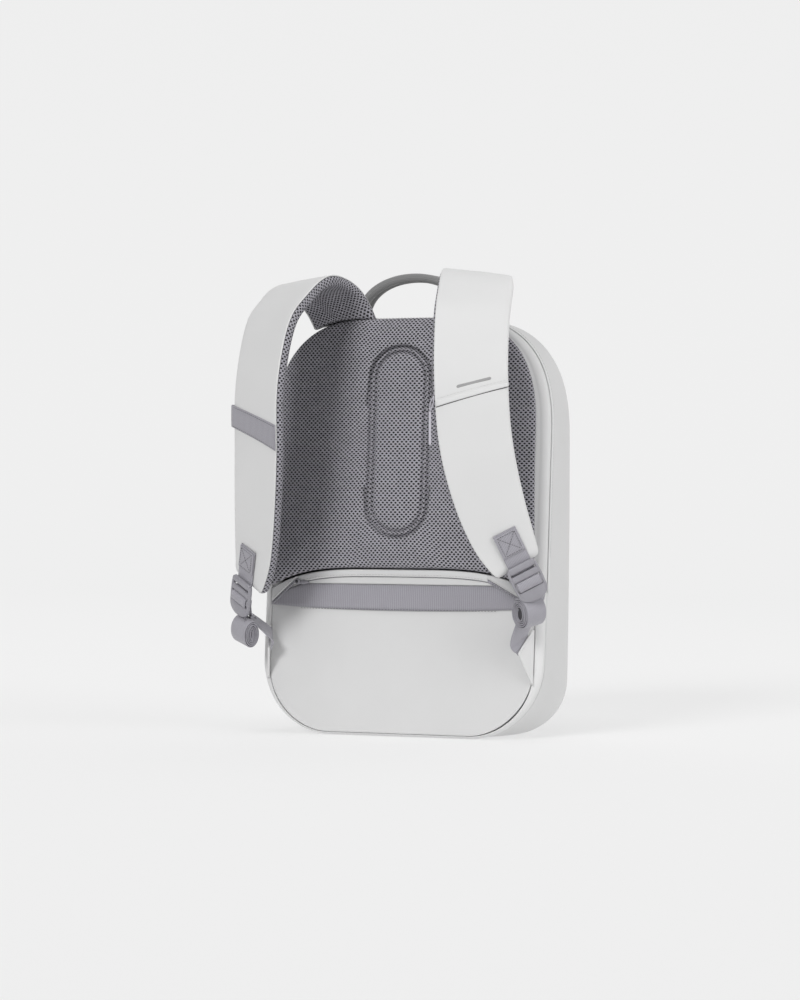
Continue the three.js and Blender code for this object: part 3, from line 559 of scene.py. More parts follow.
# The shell's rings, from its back edge along the side and round to the middle of the front
def wall_rings(inset, side_steps, round_steps, face_steps):
    rings = []
    start, end = RIM_DEPTH + GAP, DEPTH - FRONT_ROUND
    for share in np.linspace(0, 1, side_steps) ** 1.3:
        rings.append(body_ring(start + (end - start) * share, inset=inset))
    for i in range(1, round_steps + 1):
        angle = FRONT_TURN * i / round_steps
        rings.append(body_ring(end + (FRONT_ROUND - inset) * math.sin(angle),
                               inset=inset, rounding=1 - math.cos(angle)))
    last = rings[-1]
    middle = last.mean(axis=0)
    for share in np.linspace(0, 0.985, face_steps)[1:]:
        ring = last + (middle - last) * share
        ring[:, 1] += FRONT_DOME * (1 - (1 - share) ** 2.2)
        rings.append(ring)
    return rings


def build_shell():
    outer = wall_rings(0, 10, 16, 16)
    inner = wall_rings(WALL, 5, 7, 7)
    make("shell_body", *closed(inner[::-1] + outer), "shell", ["shell"], "white_shell")


RIM_SECTION = [
    # share of the rim's width, inset, share of its depth, how much deeper it lies behind the panel
    (2.1, 0.0, 0.02, 0.6), (1.68, 0.0, -0.3, 0.92), (1.45, 0.0, -0.28, 0.9), (1.2, 0.0, -0.16, 0.76),
    (1.0, 0.0, -0.06, 0.56), (0.97, 0.0, -0.05, 0.13),
    (0.93, 0.0, -0.04, 0.01), (0.8, 0.0, -0.01, 0.01), (0.62, 0.0, 0.08, 0.0), (0.44, 0.0, 0.2, 0.0),
    (0.27, 0.0, 0.36, 0.0), (0.13, 0.0, 0.55, 0.0), (0.04, 0.0, 0.76, 0.0), (0.0, 0.0, 0.93, 0.0),
    (0.03, 0.0, 1.0, 0.0), (0.0, 2.5, 1.0, 0.0), (0.6, 1.2, 0.92, 0.0), (2.1, 0.0, 0.85, 0.0),
]


def build_rim():
    rings = []
    for rim, inset, depth, deeper in RIM_SECTION:
        ring = body_ring(RIM_DEPTH * depth, rim=rim, inset=inset)
        low = np.clip((PAD_FOOT - PAD_DROP + 4 - ring[:, 2]) / 4, 0, 1)
        ring[:, 1] += RIM_DEPTH * deeper * low
        rings.append(ring)
    make("rim_edge", *closed(rings, wrap_rows=True), "rim", ["rim"], "white_shell")


# share of the lip's width, rise off the shell
LIP_SECTION = [(0.0, 0.3), (0.0, 0.85), (0.12, 1.25), (0.35, 1.45), (0.7, 1.4), (0.93, 1.1), (1.0, 0.6),
               (1.0, 0.3)]


def build_zip_lip():
    start = RIM_DEPTH + GAP
    rings = [body_ring(start + ZIP_LIP[0] * across, inset=-rise) for across, rise in LIP_SECTION]
    grid = np.array(rings).transpose(1, 0, 2)
    grid = grid[grid[:, 0, 2] > ZIP_END]
    grid = grid[np.argsort([math.atan2(p[0, 0], p[0, 2] - LIP_MIDDLE) for p in grid])]
    make("main_zip_cover", *closed(grid), "rim", ["main_zip_lip"], "white_shell")
    row = grid[:, 5] + unit(grid[:, 4] - grid[:, 5]) * 1.4
    stitch_row("main_zip_stitches", row[2:-2], unit(row[2:-2] * [1, 0, 1] - [0, 0, 215]),
               "white_thread", "white_shell")


# Small raised stitches in a row
def stitch_shape(a, b, normal, width, height):
    along = unit(b - a)
    side = np.cross(normal, along)
    rings = []
    for share, size in ((0.0, 0.3), (0.12, 0.8), (0.5, 1.0), (0.88, 0.8), (1.0, 0.3)):
        middle = a + (b - a) * share + normal * height * (0.25 + 0.75 * size)
        rings.append([middle + side * c * width / 2 * size + normal * s * height / 2 * size
                      for c, s in circle(6)])
    return skin(np.array(rings))


def stitch_parts(points, normals, length=2.3, space=1.1, width=0.55, height=0.4):
    points = np.asarray(points, float)
    normals = np.asarray(normals, float)
    steps = np.linalg.norm(np.diff(points, axis=0), axis=1)
    run = np.concatenate([[0], np.cumsum(steps)])
    count = max(int(run[-1] / (length + space)), 1)
    parts = []
    for i in range(count):
        s = (i + 0.1) * (length + space)
        ends = [np.array([np.interp(t, run, points[:, k]) for k in range(3)]) for t in (s, s + length)]
        n = unit(np.array([np.interp(s, run, normals[:, k]) for k in range(3)]))
        parts.append(stitch_shape(ends[0], ends[1], n, width, height))
    return parts


def stitch_row(name, points, normals, material, slot, **sizes):
    return make(name, *joined(stitch_parts(points, normals, **sizes)), material, [], slot)


# Back pad
def pad_foot_at(x):
    return PAD_FOOT - PAD_DROP * (np.abs(x) / PAD_HALF) ** 4


def stadium(half, height):
    points = []
    for sign, start in ((1, 0), (-1, math.pi)):
        for angle in np.linspace(start, start + math.pi, 30):
            points.append((half * math.cos(angle),
                           CHANNEL_MIDDLE + sign * (height / 2 - half) + half * math.sin(angle)))
    return np.array(points)


def pad_edge():
    top = outline(PAD_HALF, PAD_FOOT - PAD_DROP, HEIGHT, PAD_CORNER, TOP_CORNER[0] - 3, TOP_CORNER[1] - 2)
    top = top[top[:, 1] > PAD_FOOT - PAD_DROP + 10]
    x = np.linspace(-PAD_HALF + 3, PAD_HALF - 3, 40)
    lower = np.stack([x, pad_foot_at(x)], axis=1)
    both = np.concatenate([top, lower])
    order = np.argsort(np.arctan2(both[:, 1] - CHANNEL_MIDDLE, both[:, 0]))
    return both[order]


# How far from the channel's middle each angle's ray meets an outline
def ray_radius(points, angles):
    offset = points - [0, CHANNEL_MIDDLE]
    around = np.arctan2(offset[:, 1], offset[:, 0])
    order = np.argsort(around)
    around, offset = around[order], offset[order]
    result = []
    count = len(around)
    for angle in angles:
        k = np.searchsorted(around, angle) % count
        a, b = offset[k - 1], offset[k]
        d = np.array([math.cos(angle), math.sin(angle)])
        edge = b - a
        cross = d[0] * edge[1] - d[1] * edge[0]
        result.append((a[0] * edge[1] - a[1] * edge[0]) / cross)
    return np.array(result)


PAD_PROFILE = [
    # share of the way to the channel, share of the pad's height, share of how far its sides draw in
    (0.0, 0.0, 1.0), (-0.004, 0.1, 0.9), (-0.008, 0.2, 0.74), (-0.01, 0.31, 0.56), (-0.008, 0.42, 0.42),
    (-0.002, 0.52, 0.34), (0.012, 0.6, 0.3), (0.045, 0.67, 0.26), (0.1, 0.73, 0.2), (0.18, 0.79, 0.12),
    (0.28, 0.84, 0.05), (0.4, 0.89, 0.0), (0.52, 0.93, 0.0), (0.62, 0.96, 0.0), (0.72, 0.985, 0.0),
    (0.82, 1.0, 0.0), (0.9, 1.0, 0.0), (0.96, 1.0, 0.0),
]
# share of the rib's width inward, share of the channel's depth
CHANNEL_PROFILE = [(-0.55, 0.0), (-0.35, 0.1), (-0.15, 0.6), (0.0, 0.95), (0.12, 0.95), (0.28, 0.5),
                   (0.45, 0.12), (0.6, 0.06), (0.76, 0.3), (0.9, 0.75), (1.02, 0.92), (1.15, 0.7),
                   (1.35, 0.25), (1.6, 0.0), (2.1, -0.16), (2.8, -0.27), (3.6, -0.34), (4.4, -0.37)]


def pad_heights():
    angles = np.linspace(-math.pi, math.pi, 241)[:-1] + 0.001
    edge = ray_radius(pad_edge(), angles)
    groove = ray_radius(stadium(CHANNEL_HALF, CHANNEL_HEIGHT), angles)
    return angles, edge, groove


# share of the way to the channel, share of the pad's height
SWELL_ROWS = [(0.0, 0.02), (0.0, 0.24), (0.03, 0.45), (0.1, 0.61), (0.2, 0.74), (0.33, 0.83),
              (0.47, 0.9), (0.62, 0.95), (0.78, 0.98), (0.96, 1.0)]
SWELL_CLOTH = {"quality": 6, "mass": 0.3, "tension_stiffness": 25, "compression_stiffness": 25,
               "shear_stiffness": 15, "bending_stiffness": 0.6, "vertex_group_mass": "held",
               "use_pressure": True, "uniform_pressure_force": 3.5}
SWELL_FRAMES = 20
SWELL_RANGE = (-1.0, 4.0)


# Swells a coarse copy of the pad under pressure and returns how far each of its rings moved.
def swell_pad(angles, edge, groove):
    picks = np.arange(0, len(angles), 4)
    rings = []
    for toward, proud in SWELL_ROWS:
        radius = edge[picks] + (groove[picks] - edge[picks]) * toward
        x = radius * np.cos(angles[picks])
        z = CHANNEL_MIDDLE + radius * np.sin(angles[picks])
        rings.append(np.stack([x, back_at(z) - GAP - proud * PAD_CROWN, z], axis=1))
    for share in (0.35, 0.7):
        ring = rings[len(SWELL_ROWS) - 1]
        rings.append(ring + (ring.mean(axis=0) - ring) * share)
    grid = np.array(rings)
    verts, faces, _ = closed(grid)
    mesh = bpy.data.meshes.new("pad_sim")
    mesh.from_pydata((np.asarray(verts) * MM).tolist(), [], faces)
    piece = bpy.data.objects.new("pad_sim", mesh)
    bpy.context.scene.collection.objects.link(piece)
    held = piece.vertex_groups.new(name="held")
    count = len(picks)
    held.add(list(range(2 * count)) + [grid.shape[0] * count], 1.0, "REPLACE")
    held.add(list(range((len(SWELL_ROWS) - 1) * count, grid.shape[0] * count)), 0.8, "REPLACE")
    cloth = piece.modifiers.new("cloth", "CLOTH")
    for setting, value in SWELL_CLOTH.items():
        setattr(cloth.settings, setting, value)
    cloth.settings.effector_weights.gravity = 0
    cloth.collision_settings.use_collision = False
    scene = bpy.context.scene
    for step in range(1, SWELL_FRAMES + 1):
        scene.frame_set(step)
    settled = piece.evaluated_get(bpy.context.evaluated_depsgraph_get())
    after = np.array([v.co[:] for v in settled.data.vertices]) / MM
    before = np.asarray(verts)
    moved = (before - after)[:len(SWELL_ROWS) * count, 1].reshape(len(SWELL_ROWS), count)
    scene.frame_set(1)
    bpy.data.objects.remove(piece)
    bpy.data.meshes.remove(mesh)
    return [toward for toward, _ in SWELL_ROWS], np.clip(moved, *SWELL_RANGE), picks


def build_pad():
    angles, edge, groove = pad_heights()
    swell = PAD_CROWN + GAP
    puff = swell_pad(angles, edge, groove)
    rows, uvs = [], []
    extra = np.zeros(len(angles))
    last = None

    def lift(toward):
        if puff is None:
            return np.zeros(len(angles))
        towards, moved, picks = puff
        column = np.array([np.interp(toward, towards[1:], moved[1:, k]) for k in range(len(picks))])
        return np.interp(np.arange(len(angles)), np.append(picks, len(angles)),
                         np.append(column, column[0]))

    def ring(radius, proud):
        nonlocal last, extra
        x = radius * np.cos(angles)
        z = CHANNEL_MIDDLE + radius * np.sin(angles)
        row = np.stack([x, back_at(z) - proud, z], axis=1)
        if last is not None:
            step = np.linalg.norm(row - last, axis=1)
            flat = np.linalg.norm((row - last)[:, [0, 2]], axis=1)
            extra = extra + step - flat
        last = row
        rows.append(row)
        uvs.append((x, z, extra.copy()))

    top = lift(1.0)
    for toward, proud, drawn in PAD_PROFILE:
        radius = edge + (groove - edge) * toward - PAD_DRAWN_IN * drawn * np.cos(angles) ** 2
        grow = lift(toward) * min(proud * 3, 1)
        ring(radius, GAP + proud * swell + grow)
    for inward, low in CHANNEL_PROFILE:
        inset = inward * CHANNEL_RIB
        radius = ray_radius(stadium(CHANNEL_HALF - inset, CHANNEL_HEIGHT - 2 * inset), angles)
        ring(radius, GAP + swell - low * CHANNEL_DEPTH + top * (1 - max(inward, 0) * 0.1))
    away = np.stack([np.cos(angles), np.sin(angles)], axis=1)
    uv = []
    for x, z, gone in uvs:
        flat = np.stack([x, z], axis=1) + away * (extra - gone)[:, None]
        uv.append(np.concatenate([flat, flat[:1]]))
    piece = make("mesh_back_pad", *closed(rows, uv=np.array(uv)), "mesh", ["back_pad"], "grey_mesh")


# Lower panel
def panel_top(x):
    return pad_foot_at(x) - PANEL_SEAM


# side, height and depth of the dents that the side tabs pull into the panel's corners
PANEL_DENTS = ((-1, 118, 1.9), (1, 108, 1.7))


def panel_surface(x, z):
    x = np.asarray(x, float)
    z = np.asarray(z, float)
    across = np.maximum(1 - (np.abs(x) / PANEL_HALF) ** 4, 0)
    up = np.clip((z - RIM_FOOT) / (PAD_FOOT - RIM_FOOT), 0, 1)
    rise = np.sqrt(np.sin(math.pi * np.minimum(up * 0.62 + 0.02, 1)))
    dent = 0
    for side, place, size in PANEL_DENTS:
        near = ((x - side * 130) / 13) ** 2 + ((z - place - (np.abs(x) - 130) * 0.9) / 26) ** 2
        dent = dent + size * np.exp(-near)
    return back_at(z) - PANEL_DOME * across * rise + dent


def panel_half(z):
    radius = FOOT_CORNER - RIM_SIDE
    drop = max(RIM_FOOT + PANEL_GAP + radius - z, 0)
    return PANEL_HALF - radius + math.sqrt(max(radius * radius - drop * drop, 0))


def build_panel():
    low = RIM_FOOT + PANEL_GAP
    rows = []
    for share in np.linspace(0, 1, 64) ** 1.5:
        base = low + (float(panel_top(PANEL_HALF)) - low) * share
        half = panel_half(base)
        angles = np.linspace(-math.pi / 2, math.pi / 2, 97)
        x = half * np.sin(angles)
        z = low + (panel_top(x) - low) * share
        edge = np.clip((half - np.abs(x)) / 1.6, 0, 1)
        foot = min(share / 0.004, 1)
        roll = 0.9 * (1 - np.sqrt(edge)) + 0.7 * (1 - foot)
        y = panel_surface(x, z)
        front = np.stack([x, y + roll, z], axis=1)
        back = np.stack([x * 0.998, y + PANEL_THICK, z], axis=1)[::-4]
        rows.append(np.concatenate([front, back]))
    make("lower_panel_cloth", *closed(rows), "panel", ["lower_panel"], "white_shell")


# A strip that lies on the lower panel between two edges, with a rounded section
def panel_strip(name, x, low, high, lift, thick, material, nodes, slot, columns=10):
    x = np.asarray(x, float)
    section = [(0.0, 0.0)]
    for share in np.linspace(0, 1, columns):
        rounded = min(share, 1 - share) * (columns - 1)
        section.append((share, 1.0 if rounded >= 1 else 0.62))
    section.append((1.0, 0.0))
    grid = []
    for share, out in section:
        z = low + (high - low) * share
        y = panel_surface(x, z) - lift - thick * out
        grid.append(np.stack([x, y, z], axis=1))
    grid = np.array(grid).transpose(1, 0, 2)
    return make(name, *closed(grid), material, nodes, slot)


def flap_foot(x, side):
    start = 96.0 if side > 0 else 113.0
    slope = 0.56 if side > 0 else 0.86
    return FLAP_TOP - np.maximum(np.abs(x) - start, 0) * slope


def panel_line(name, x, z, material, slot, lift, **sizes):
    points = np.stack([x, panel_surface(x, z) - lift, z], axis=1)
    normals = np.tile([0.0, -1.0, 0.0], (len(x), 1))
    return stitch_row(name, points, normals, material, slot, **sizes)


def build_pocket():
    x = np.linspace(-HEM_HALF, HEM_HALF, 85)
    top = panel_top(x)
    hem_low = top - HEM_WIDTH
    panel_strip("pocket_hem_strip", x, hem_low, top - 0.2, GAP, 1.7, "rim", ["pocket_hem"], "white_shell")
    panel_strip("pocket_zip_coil", x, hem_low - ZIP_SLIT - 0.4, hem_low + 0.6, 0.1, 0.5, "zip",
                ["pocket_zip"], "grey_webbing", 4)
    guard_low = np.minimum(hem_low - ZIP_SLIT - 0.5, BAND_TOP + 0.6)
    panel_strip("pocket_zip_guard", x, guard_low, hem_low - ZIP_SLIT, GAP, 1.2, "panel", [], "white_shell")
    teeth = []
    for place in np.arange(-TEETH_HALF, TEETH_HALF, TEETH_PITCH):
        z = float(panel_top(place)) - HEM_WIDTH - ZIP_SLIT / 2
        y = float(panel_surface(place, z)) - 0.75
        a = np.array([place, y, z - 0.55])
        b = np.array([place, y, z + 0.55])
        teeth.append(stitch_shape(a, b, np.array([0, -1.0, 0]), 0.9, 0.5))
    make("pocket_zip_teeth", *joined(teeth), "zip", [], "grey_webbing")
    wide = np.linspace(-PANEL_HALF + 1, PANEL_HALF - 1, 110)
    band_low = BAND_TOP - BAND_WIDTH + 4 * (wide / PANEL_HALF) ** 2
    band_high = np.minimum(BAND_TOP, panel_top(wide) - HEM_WIDTH - ZIP_SLIT - 1.2)
    band = panel_strip("luggage_band_cloth", wide, band_low, band_high, GAP, 1.5, "band",
                       ["luggage_band"], "grey_webbing", 8)
    for side, name in ((-1, "left"), (1, "right")):
        start = 97.0 if side > 0 else 114.0
        x = side * np.linspace(start, PANEL_HALF - 1.2, 34)
        high = panel_top(x) - 0.3
        low = np.minimum(flap_foot(x, side), high - 1.5)
        panel_strip(f"corner_flap_cloth_{name}", x, low, high, 2.3, 1.5, "panel",
                    [f"corner_flap_{name}"], "white_shell")
        hem_high = low - 0.5
        panel_strip(f"corner_flap_hem_{name}", x, hem_high - 3.4, hem_high, 2.0, 1.0, "band", [],
                    "grey_webbing", 5)
        panel_line(f"corner_flap_stitches_{name}", x[2:-1], (low + 1.6)[2:-1], "white_thread",
                   "white_shell", 4.0)
        panel_line(f"corner_hem_stitches_{name}", x[3:-2], (hem_high - 1.7)[3:-2], "grey_thread",
                   "grey_webbing", 3.1, width=0.45)
    x = np.linspace(-108, 92, 60)
    panel_line("pocket_hem_stitches", x, panel_top(x) - HEM_WIDTH + 1.7, "white_thread",
               "white_shell", 2.25)
    x = np.linspace(-110, 110, 60)
    panel_line("luggage_band_stitches", x, np.full(60, BAND_TOP - BAND_WIDTH + 1.2), "grey_thread",
               "grey_webbing", 2.0, width=0.4)
    build_slider()


# share of the slider's length, half its width, its depth
SLIDER_SECTION = [(0.0, 1.6, 0.6), (0.08, 2.2, 1.2), (0.35, 2.4, 1.6), (0.6, 2.0, 1.5), (0.85, 1.3, 1.2),
                  (1.0, 0.8, 0.6)]
# share of the pull's length, half its width
PULL_SECTION = [(0, 2.4), (0.3, 2.7), (0.8, 2.3), (1.0, 1.4)]
PULL_HOLE = 1.5


def build_slider():
    x = SLIDER_PLACE
    z = float(panel_top(x)) - HEM_WIDTH - 1.0
    y = float(panel_surface(x, z)) - 2.4
    body = [[(x - 5 + 10 * share, y - deep * s * 0.8, z + half * c) for c, s in circle(12)]
            for share, half, deep in SLIDER_SECTION]
    pull = [[(x - 4.5 - 6.5 * share, y - 1.4 - 0.5 * s, z + 0.6 + half * c) for c, s in circle(12)]
            for share, half in PULL_SECTION]
    # A near-black disc over the pull's hole paints the shade seen through it.
    hole = [[(x - 8.2 + PULL_HOLE * c, y - 1.95 - depth, z + 0.6 + PULL_HOLE * s) for c, s in circle(16)]
            for depth in (0.0, 0.5)]
    make("pocket_slider_body", *joined([closed(body), closed(pull)]), "buckle", ["pocket_slider"],
         "grey_plastic")
    make("pocket_slider_hole_shade", *closed(hole), "dark", [], "grey_plastic")


# Handle
def top_at(x):
    reach = np.maximum(np.abs(x) - (HALF_WIDTH - TOP_CORNER[0]), 0) / TOP_CORNER[0]
    fall = (1 - np.minimum(reach, 1) ** POWER) ** (1 / POWER)
    return HEIGHT - TOP_CORNER[1] * (1 - fall)


# share of half the handle's width, share of half its thickness
HANDLE_SECTION = [(-1.0, 0.0), (-0.97, 0.55), (-0.85, 0.88), (-0.62, 1.0), (-0.38, 0.95), (-0.18, 0.66),
                  (0.0, 0.48), (0.18, 0.66), (0.38, 0.95), (0.62, 1.0), (0.85, 0.88), (0.97, 0.55),
                  (1.0, 0.0), (0.97, -0.55), (0.85, -0.88), (0.62, -1.0), (0.38, -0.95), (0.18, -0.66),
                  (0.0, -0.48), (-0.18, -0.66), (-0.38, -0.95), (-0.62, -1.0), (-0.85, -0.88),
                  (-0.97, -0.55)]


def build_handle():
    foot = float(top_at(HANDLE_SPAN - HANDLE_THICK / 2)) + ZIP_LIP[1] + 2 * GAP
    y = float(back_at(HEIGHT)) + HANDLE_BACK + HANDLE_WIDTH / 2
    angles = np.linspace(0, math.pi, 73)
    p = np.stack([-HANDLE_SPAN * np.cos(angles), np.full(73, y),
                  foot + HANDLE_RISE * np.sin(angles) ** 0.9], axis=1)
    along = unit(np.gradient(p, axis=0))
    along[0] = (0, 0, 1)
    along[-1] = (0, 0, -1)
    rows = []
    for i, angle in enumerate(angles):
        n = np.cross([0, 1.0, 0], along[i])
        narrow = 0.86 + 0.14 * abs(math.cos(angle)) ** 1.5
        rows.append([p[i] + [0, a * HANDLE_WIDTH / 2 * narrow, 0] + n * t * HANDLE_THICK / 2
                     for a, t in HANDLE_SECTION])
    make("carry_handle", *closed(rows), "handle", ["handle"], "handle_webbing")
    for k, column in enumerate((2, 10)):
        points = [row[column] for row in rows[3:70]]
        stitch_row(f"handle_stitches_{k + 1}", points, unit(np.asarray(points) - [0, y, foot - 10]),
                   "grey_thread", "handle_webbing", width=0.45)


# Straps. The rows are those of the part's own source, for the right side.
STRAP_ROWS = [
    # share of half width out, share of the bow, share of the rise or height, whether it is the rise,
    # yaw, share of the strap's width, share of the sag, roll
    (0.455, 0.08, -0.3, True, 0, 0.97, 0, -10),
    (0.53, 0.16, 0.45, True, 4, 0.98, 0, -9),
    (0.6, 0.33, 0.92, True, 10, 0.99, 0, -8),
    (0.635, 0.54, 1.0, True, 16, 1, 0, -6),
    (0.68, 0.76, 0.6, True, 24, 1, 0, -3),
    (0.71, 0.9, 0.995, False, 28, 1, 0.05, 0),
    (0.745, 1.0, 0.85, False, 29, 1, 0.2, 0),
    (0.765, 0.92, 0.7, False, 29, 0.99, 0.45, 0),
    (0.82, 0.76, 0.565, False, 29, 0.93, 0.7, 4),
    (0.885, 0.6, 0.47, False, 29, 0.83, 0.9, 8),
    (0.95, 0.49, 0.414, False, 30, 0.67, 1, 12),
]


# A point of a smooth curve through all the given ones, at share t of the way
def catmull(points, t):
    last = len(points) - 1
    s = t * last
    k = min(int(s), last - 1)
    w = s - k
    p1, p2 = points[k], points[k + 1]
    p0 = points[k - 1] if k > 0 else 2 * points[0] - points[1]
    p3 = points[k + 2] if k + 2 <= last else 2 * points[-1] - points[-2]
    d0, d1, d2 = (max(np.linalg.norm(b - a) ** 0.5, 1e-4) for a, b in ((p0, p1), (p1, p2), (p2, p3)))
    t1 = ((p1 - p0) / d0 - (p2 - p0) / (d0 + d1) + (p2 - p1) / d1) * d1
    t2 = ((p2 - p1) / d1 - (p3 - p1) / (d1 + d2) + (p3 - p2) / d2) * d1
    return p1 + t1 * w + (-3 * p1 + 3 * p2 - 2 * t1 - t2) * w ** 2 + (2 * p1 - 2 * p2 + t1 + t2) * w ** 3


# Evens a table of rows out over some rows each way, fewer toward its ends.
def eased_more(rows, reach):
    count = len(rows)
    result = rows.copy()
    for i in range(1, count - 1):
        k = min(i, count - 1 - i, reach)
        window = 0.5 + 0.5 * np.cos(np.linspace(-math.pi, math.pi, 2 * k + 3)[1:-1])
        result[i] = (rows[i - k:i + k + 1] * window[:, None]).sum(axis=0) / window.sum()
    return result


STATIONS = 601
EASE_ROUNDS = 60
EASE_RUN = 40.0
EASE_REACH = 26


# A strap's middle line, from its root to its foot, with its turn and width at each place
class Course:
    def __init__(self, sag, rise):
        places, turns = [], []
        for out, bow, up, rises, yaw, wide, drop, roll in STRAP_ROWS:
            x = out * HALF_WIDTH
            base = float(top_at(x)) + GAP
            z = (base + up * rise if rises else up * HEIGHT) - drop * sag
            y = float(back_at(z)) + STRAP_PAD - bow * STRAP_BOW
            places.append((x, y, z))
            turns.append((yaw, wide * STRAP_WIDTH, roll))
        places, turns = np.array(places), np.array(turns, float)
        steps = np.linspace(0, 1, STATIONS)
        dense = np.array([catmull(places, t) for t in steps])
        run = np.concatenate([[0], np.cumsum(np.linalg.norm(np.diff(dense, axis=0), axis=1))])
        self.total = run[-1]
        even = np.linspace(0, self.total, STATIONS)
        rows = np.array([[*catmull(places, t), *catmull(turns, t)] for t in np.interp(even, run, steps)])
        count = np.arange(STATIONS)
        spread = np.minimum(np.minimum(count, count[::-1]) / EASE_RUN, 1)[:, None]
        for _ in range(EASE_ROUNDS):
            softer = rows.copy()
            softer[1:-1] = (rows[:-2] + 2 * rows[1:-1] + rows[2:]) / 4
            rows = rows + (softer - rows) * spread
        self.even = even / self.total
        self.rows = eased_more(rows, EASE_REACH)
        self.tangents = unit(np.gradient(self.rows[:, :3], axis=0))

    def at(self, share):
        p, tangent, turn = (np.array([np.interp(share, self.even, table[:, k]) for k in range(3)])
                            for table in (self.rows[:, :3], self.tangents, self.rows[:, 3:]))
        along = unit(tangent)
        yaw, width, roll = turn
        yaw, roll = math.radians(yaw), math.radians(roll)
        u = np.array([math.cos(yaw) * math.cos(roll), math.sin(yaw) * math.cos(roll), math.sin(roll)])
        u = unit(u - np.dot(u, along) * along)
        n = unit(np.cross(along, u))
        return p, u, n, along, width

    def on(self, share, across, out):
        p, u, n, _, width = self.at(share)
        return p + u * across * width / 2 + n * out

    def share_at(self, height):
        low, high = 0.35, 1.0
        for _ in range(30):
            middle = (low + high) / 2
            if self.at(middle)[0][2] > height:
                low = middle
            else:
                high = middle
        return low


# The cover folds round the strap's outer edge and ends flush with the inner one.
COVER_SECTION = [
    # share of half width, millimetres further across, millimetres out
    (-1, 0.2, 1.9), (-1, -0.3, 2.3), (-1, -0.2, 2.9), (-1, 0.5, 3.25), (-1, 2.0, 3.4), (-0.7, 0, 3.45),
    (-0.4, 0, 3.5), (0, 0, 3.6), (0.4, 0, 3.5), (0.7, 0, 3.3), (1, -5.0, 2.9), (1, -2.6, 2.3),
    (1, -1.0, 1.2), (1, -0.2, -0.4), (1, 0.1, -2.4), (1, 0.0, -4.8), (1, -0.6, -6.9), (1, -1.8, -8.3),
    (1, -2.9, -7.9), (1, -2.2, -6.4), (1, -1.6, -4.4), (1, -1.6, -2.4), (1, -1.9, 0.0), (1, -3.2, 1.2),
    (0.6, 0, 1.6), (0, 0, 1.8), (-0.6, 0, 1.7), (-1, 1.6, 1.7),
]
PAD_SECTION = [
    (-1, 1.2, 1.5), (-1, -0.2, 1.3), (-1, -1.0, 0.4), (-1, -1.3, -1.0), (-1, -1.4, -2.8), (-1, -1.2, -4.6),
    (-1, -0.5, -6.2), (-1, 0.9, -7.5), (-1, 3.2, -8.3), (-0.75, 0, -8.6), (-0.4, 0, -8.8), (0, 0, -8.8),
    (0.4, 0, -8.8), (0.75, 0, -8.6), (1, -5.2, -8.4), (1, -3.2, -7.6), (1, -2.4, -6.2), (1, -2.0, -4.4),
    (1, -2.2, -2.8), (1, -3.4, -0.6), (0.5, 0, 0.6), (0, 0, 0.9), (-0.5, 0, 1.0),
]


# Carries a section along a strap. It rounds off at the foot and stays above the body at the root.
def strap_sweep(course, section, shares):
    rows = []
    for share in shares:
        p, u, n, _, width = course.at(share)
        close = min((1 - share) * course.total / TIP_RUN, 1.0)
        tip = math.sqrt(max(1 - (1 - close) ** 2, 0.0))
        squeeze = 0.25 + 0.75 * tip
        tuck = STRAP_TUCK * min(max((TUCK_END - share) / TUCK_FADE, 0.0), 1.0)
        row = []
        for across, more, out in section:
            sideways = (across * width / 2 + more) * (0.86 + 0.14 * tip)
            if across > 0:
                sideways -= tuck
            row.append(p + u * sideways + n * (out * squeeze - 0.6 * (1 - squeeze)))
        rows.append(row)
    grid = np.array(rows)
    limit = top_at(grid[..., 0]) + GAP
    deep = grid[..., 1] > float(back_at(HEIGHT)) - PAD_CROWN
    low = grid[..., 2] < limit
    grid[..., 2] = np.where(low & deep & (grid[..., 2] > ROOT_LEAST), limit, grid[..., 2])
    return grid


# share of a band's length, share of its thickness
BAND_SECTION = [(0.0, 0.0), (0.0, 0.6), (0.06, 0.95), (0.25, 1.0), (0.5, 1.0), (0.75, 1.0), (0.94, 0.95),
                (1.0, 0.6), (1.0, 0.0)]
# how far past the strap's edge the left strap's band reaches, how far down its side
BAND_SIDE = [(0.9, 1.5), (1.3, 3.6), (1.1, 6.0), (0.4, 8.2)]
BAND_LENGTH = 24.0


def slanted_band(course, middle, length, low, thick, start=-1.0, end=1.0):
    rows = []
    for share in np.linspace(start, end, 26):
        top = middle - (share * SLANT + length / 2) / course.total
        rows.append([course.on(top + length / course.total * place, share, low + thick * out)
                     for place, out in BAND_SECTION])
    return np.array(rows)


def slanted_stitches(name, course, middle, up, span, out, sign, material, slot, **sizes):
    points, normals = [], []
    for share in np.linspace(*span, 40):
        station = middle - (share * SLANT + up) / course.total
        points.append(course.on(station, share, out) * [sign, 1, 1])
        normals.append(course.at(station)[2] * [sign, 1, 1])
    stitch_row(name, points, normals, material, slot, **sizes)


